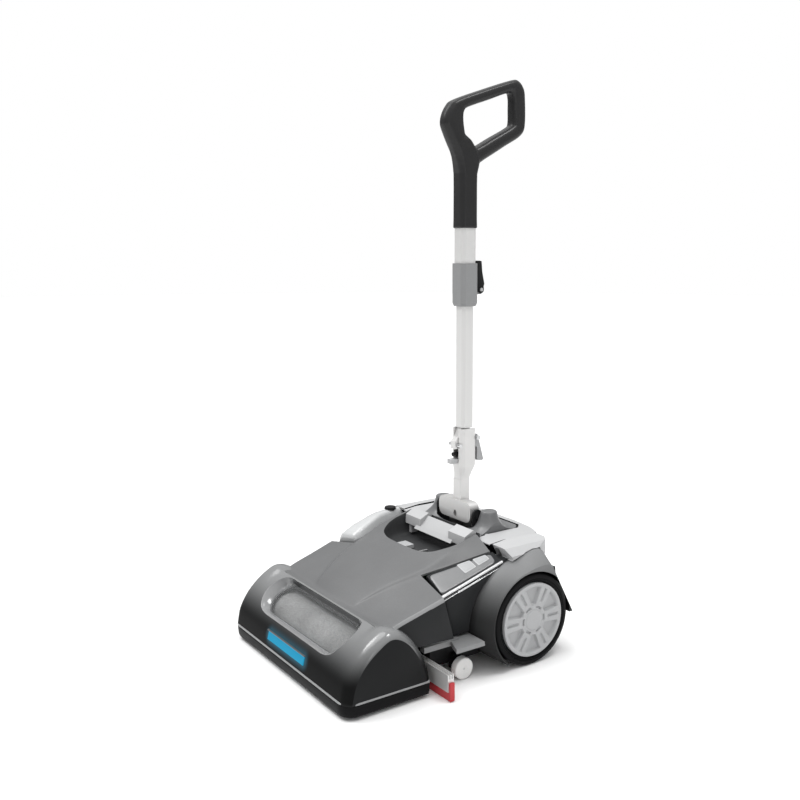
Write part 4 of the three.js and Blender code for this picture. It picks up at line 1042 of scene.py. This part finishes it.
# ---- Grip and mast ----
# The loop's two outlines are (y, z).
LOOP_OUTER = [
    (73, 972), (75, 988), (84, 1005), (100, 1018), (170, 1043.5), (236, 1065.4), (250, 1065.6), (262.5, 1054),
    (267, 1036), (267, 985), (257, 962), (215, 938), (172, 914), (140, 898), (112, 904), (95, 928), (80, 955),
]
LOOP_INNER = [
    (118, 985), (120, 998), (130, 1006), (178, 1023), (226, 1040), (234, 1034), (235, 1010), (235, 984),
    (227, 976), (182, 953), (138, 930), (128, 934), (121, 958),
]
LOOP_CENTRE = Vector((176, 985))
LOOP_SQUARENESS = 0.72
# Sections of the grip's stem: (z, front y, back y, half width, chamfer).
STEM = (
    (783, 108.8, 147.2, 19, 7), (783.8, 108.2, 147.8, 19.4, 7.4), (800, 108.4, 147.6, 19, 7.5),
    (860, 108.4, 147.6, 18.8, 7.5), (884, 107.5, 148.6, 18.6, 8), (900, 104.5, 154, 18.2, 9),
    (914, 100.5, 158, 17.6, 10), (930, 94, 150, 17, 10), (946, 87, 138, 16, 10), (958, 86, 122, 12, 8),
)
STEM_ROUND = 2.2
# Sections of the mast's casting: (z, half width, half depth, middle y, chamfer).
CASTING = (
    (297, 12.5, 11.2, 122, 2), (303, 12.8, 11.5, 122.4, 2.5), (312, 14.6, 14.5, 124.5, 5),
    (322, 17.4, 18.6, 127.2, 7.6), (328, 18.5, 20, 128, 8.2), (400, 18.5, 20, 128, 8.2),
)
CASTING_ROUND = 2.0
HOLE_Z = 232


def chamfered_ring(z, half, front, back, chamfer, radius):
    """A level rectangle with cut and rounded corners."""
    outline = []
    for sign, y, step in ((-1, front, chamfer), (1, back, -chamfer)):
        outline += [(sign * half, y + step), (sign * (half - chamfer), y)]
        outline += [(-sign * (half - chamfer), y), (-sign * half, y + step)]
    return [(p.x, p.y, z) for p in rounded(outline, radius, 3)]


def ray_hit(outline, centre, angle):
    """Distance from centre to a closed outline along a direction."""
    direction = Vector((cos(angle), sin(angle)))
    best = 0.0
    for i, p in enumerate(outline):
        a, b = outline[i - 1] - centre, p - centre
        edge = b - a
        cross = direction.x * edge.y - direction.y * edge.x
        if abs(cross) < 1e-9:
            continue
        t = (a.x * edge.y - a.y * edge.x) / cross
        s = (a.x * direction.y - a.y * direction.x) / cross
        if -1e-9 <= s <= 1 + 1e-9 and t > best:
            best = t
    return best


def build_grip():
    outer, inner = spline(LOOP_OUTER, 6, closed=True), spline(LOOP_INNER, 6, closed=True)
    rings = []
    count, around = 150, 28
    for k in range(count):
        angle = 2 * pi * k / count
        far, near = ray_hit(outer, LOOP_CENTRE, angle), ray_hit(inner, LOOP_CENTRE, angle)
        middle, thick = (far + near) / 2, (far - near) / 2
        ring = []
        for j in range(around):
            turn = 2 * pi * j / around
            c, s = cos(turn), sin(turn)
            u = math.copysign(abs(c) ** LOOP_SQUARENESS, c)
            v = math.copysign(abs(s) ** LOOP_SQUARENESS, s)
            reach = middle + thick * u
            y, z = LOOP_CENTRE.x + reach * cos(angle), LOOP_CENTRE.y + reach * sin(angle)
            wide = lerp(16.5, 14.2, ease((z - 930) / 110))
            ring.append((wide * v, y, z))
        rings.append(ring)
    loop = skin("loop", rings, wrap=True)
    rings = []
    for z, front, back, half, chamfer in STEM:
        rings.append(chamfered_ring(z, half, front, back, chamfer, STEM_ROUND))
    cut(loop, skin("stem", rings), "UNION")
    remesh = loop.modifiers.new("remesh", "REMESH")
    remesh.mode = "VOXEL"
    remesh.voxel_size = 1.3 * MM
    even = loop.modifiers.new("even", "SMOOTH")
    even.factor = 0.5
    even.iterations = 5
    bake(loop)
    cut(loop, prism("bore", "z", rounded(rectangle(-17.4, 17.4, 110.7, 145.4), 10, 5), 770, 896))
    loop.name = "handle_grip"
    dress(soften(loop, 60), "mast_upper", "grip_black", GRIP, "grip")


def build_mast():
    outline = rounded(rectangle(-51, 50, 222, 261), [17, 17, 13, 17], 8)
    foot = prism("mast_casting", "y", [(z, x) for x, z in outline], 104.5, 126)
    cut(foot, prism("neck", "z", rounded(rectangle(-12.5, 12.5, 110, 133), 2.5, 3), 240, 300), "UNION")
    rings = []
    for z, half, depth, centre, chamfer in CASTING:
        rings.append(chamfered_ring(z, half, centre - depth, centre + depth, chamfer, CASTING_ROUND))
    cut(foot, skin("casting", rings), "UNION")
    cut(foot, block("pocket", -14.5, 14.5, 113.5, 143.2, 332, 410))
    cut(foot, block("front_slot", -7.5, 7.5, 90, 116, 332, 410))
    cut(foot, block("back_slot", -14.5, 14.5, 130, 160, 360, 410))
    hole = []
    for k in range(24):
        angle = k * pi / 12
        hole.append((HOLE_Z + 6.2 * sin(angle) * (1.3 if k < 12 else 1), 5.0 * cos(angle) + 2))
    cut(foot, prism("dark_hole", "y", hole, 90, 114))
    bevel(foot, 1.3, 3, 40, merge=False)
    bake(foot)
    dress(foot, "mast_base", "silver", SILVER, "mast_foot")
    # Painted shade: a black disc at the back of the hole stands for the dark inside it.
    hole_shadow = prism("hole_shadow_disc", "y", hole, 112.5, 114.6)
    dress(soften(hole_shadow), "mast_base", "black_plastic", BLACK)


build_head()
build_cover()
build_tanks()
build_fenders()
build_deck()
build_hinge_cover()
for name, side in SIDES:
    build_wheel(name, side)
    build_roller(name, side)
build_brush()
build_grip()
build_mast()

# ---- CAD pieces that stay: rounded edges and finishes ----
# Slot, look and the width of the rounded edges of each piece, in millimetres.
KEPT = (
    ("light_grey", PALE, {"carry_handle": 2.0, "release_button": 1.4, "brush_core": 0.6, "water_pump": 1.5}),
    ("button_grey", BUTTON, {"start_button": 1.5, "latch_lever": 0.8}),
    ("charcoal", STEP_TOP, {"side_step_left": 1.5, "side_step_right": 1.5}),
    ("charcoal", CHARCOAL, {"rear_panel": 2.0}),
    ("cover_grey", STEP_TOP, {"clamp_collar": 1.6}),
    ("translucent_white", SILVER, {"squeegee_rail": 0.3}),
    ("silver", SILVER, {"fold_block": 0.8}),
    ("silver", TUBE, {"lower_tube": 0.5, "upper_tube": 0.6}),
    ("led_blue", BLUE, {"led_lens": 1.5}),
    ("blade_red", RED, {"squeegee_blade": 0.5}),
    ("tyre_black", TYRE, {"drive_belt": 0.3}),
    ("board_green", GREEN, {"control_board": 0.4}),
    ("black_plastic", BLACK, {
        "hinge_bracket": 0.8, "chassis_tray": 0.8, "squeegee_arms": 0.6, "lock_knob": 0.8, "clamp_lever": 1.0,
        "clean_tank_cap": 1.0, "brush_pulley": 0.6, "battery_pack": 2.0,
    }),
    # Painted shade: the steel hinge pin is painted black, standing for the shadow between the hinge plate and
    # its boss.
    ("steel", BLACK, {"hinge_pin": 0.8}),
    ("steel", STEEL, {
        "key_switch": 0.5, "axle": 0.6, "latch_pin": 0.6, "fold_pin": 0.5, "clamp_pin": 0.5,
        "brush_bearing_left": 0.6, "brush_bearing_right": 0.6, "motor_pulley": 0.5, "brush_motor": 0.8,
        "suction_motor": 1.5,
    }),
)
for slot_name, look, widths in KEPT:
    for node, width in widths.items():
        obj = NODES[node]
        obj.data.materials.clear()
        obj.data.materials.append(look)
        bevel(obj, width)

# ---- Floor, light and camera ----
FLOOR_RADIUS = 14
disc = bpy.data.meshes.new("floor")
disc.from_pydata([(x, y, 0) for x, y in circle(0, 0, FLOOR_RADIUS, 96)], [], [tuple(range(96))])
floor = add("floor", disc)
pale = bpy.data.materials.new("floor_pale")
pale.use_nodes = True
tree = pale.node_tree
tone = noise(tree, tree.nodes.new("ShaderNodeTexCoord").outputs["Object"], 2.0, 2.0)
tone = blend_colour(tree, tone, (0.86, 0.86, 0.86), (0.88, 0.88, 0.88))
shader = tree.nodes["Principled BSDF"]
link(tree, tone, shader.inputs["Base Color"])
put(shader, {"Roughness": 0.9})
disc.materials.append(pale)

world = bpy.data.worlds.new("studio")
SCENE.world = world
world.use_nodes = True
sky = world.node_tree
facing = sky.nodes.new("ShaderNodeSeparateXYZ")
link(sky, sky.nodes.new("ShaderNodeTexCoord").outputs["Generated"], facing.inputs["Vector"])
dome = ramp(sky, facing.outputs["Z"], 0.05, 0.85, 0.30, 1.15)
seen = sky.nodes.new("ShaderNodeLightPath").outputs["Is Camera Ray"]
link(sky, blend_colour(sky, seen, dome, (1.0, 1.0, 1.0)), sky.nodes["Background"].inputs["Color"])
put(sky.nodes["Background"], {"Strength": 1.0})


def look_along(obj, position, direction):
    """Set an object down so that its own -Z axis points along a direction."""
    obj.location = position
    obj.rotation_mode = "QUATERNION"
    obj.rotation_quaternion = direction.to_track_quat("-Z", "Y")


def softbox(name, position, target, size, power):
    lamp = bpy.data.lights.new(name, "AREA")
    lamp.shape = "RECTANGLE"
    lamp.size, lamp.size_y = size
    lamp.energy = power
    look_along(add(name, lamp), position, Vector(target) - Vector(position))


softbox("key", (-1.0, -1.2, 2.4), (0, 0, 0.2), (0.9, 0.9), 14)
softbox("top", (0.75, 0.5, 2.2), (0.1, -0.1, 0.2), (0.7, 0.35), 13)
softbox("side", (2.6, -0.9, 1.0), (0, 0, 0.4), (0.3, 1.2), 4)
sun = bpy.data.lights.new("overhead", "SUN")
sun.energy = 1.7
sun.angle = radians(50)
add("overhead", sun).rotation_euler = (radians(12), radians(-14), 0)

CAMERA_PLACE = (1.4354, -0.9662, 0.745)
CAMERA_TURN, CAMERA_TILT = 54.675, 7.225
CAMERA_SHIFT = -0.04
view = bpy.data.cameras.new("camera")
view.sensor_width = 36
view.lens = 42.42
view.shift_x = CAMERA_SHIFT
view.shift_y = CAMERA_SHIFT
turn, tilt = radians(CAMERA_TURN), radians(CAMERA_TILT)
aim = Vector((-sin(turn) * cos(tilt), cos(turn) * cos(tilt), -sin(tilt)))
camera = add("camera", view)
look_along(camera, CAMERA_PLACE, aim)
SCENE.camera = camera
SCENE.view_settings.view_transform = "Standard"
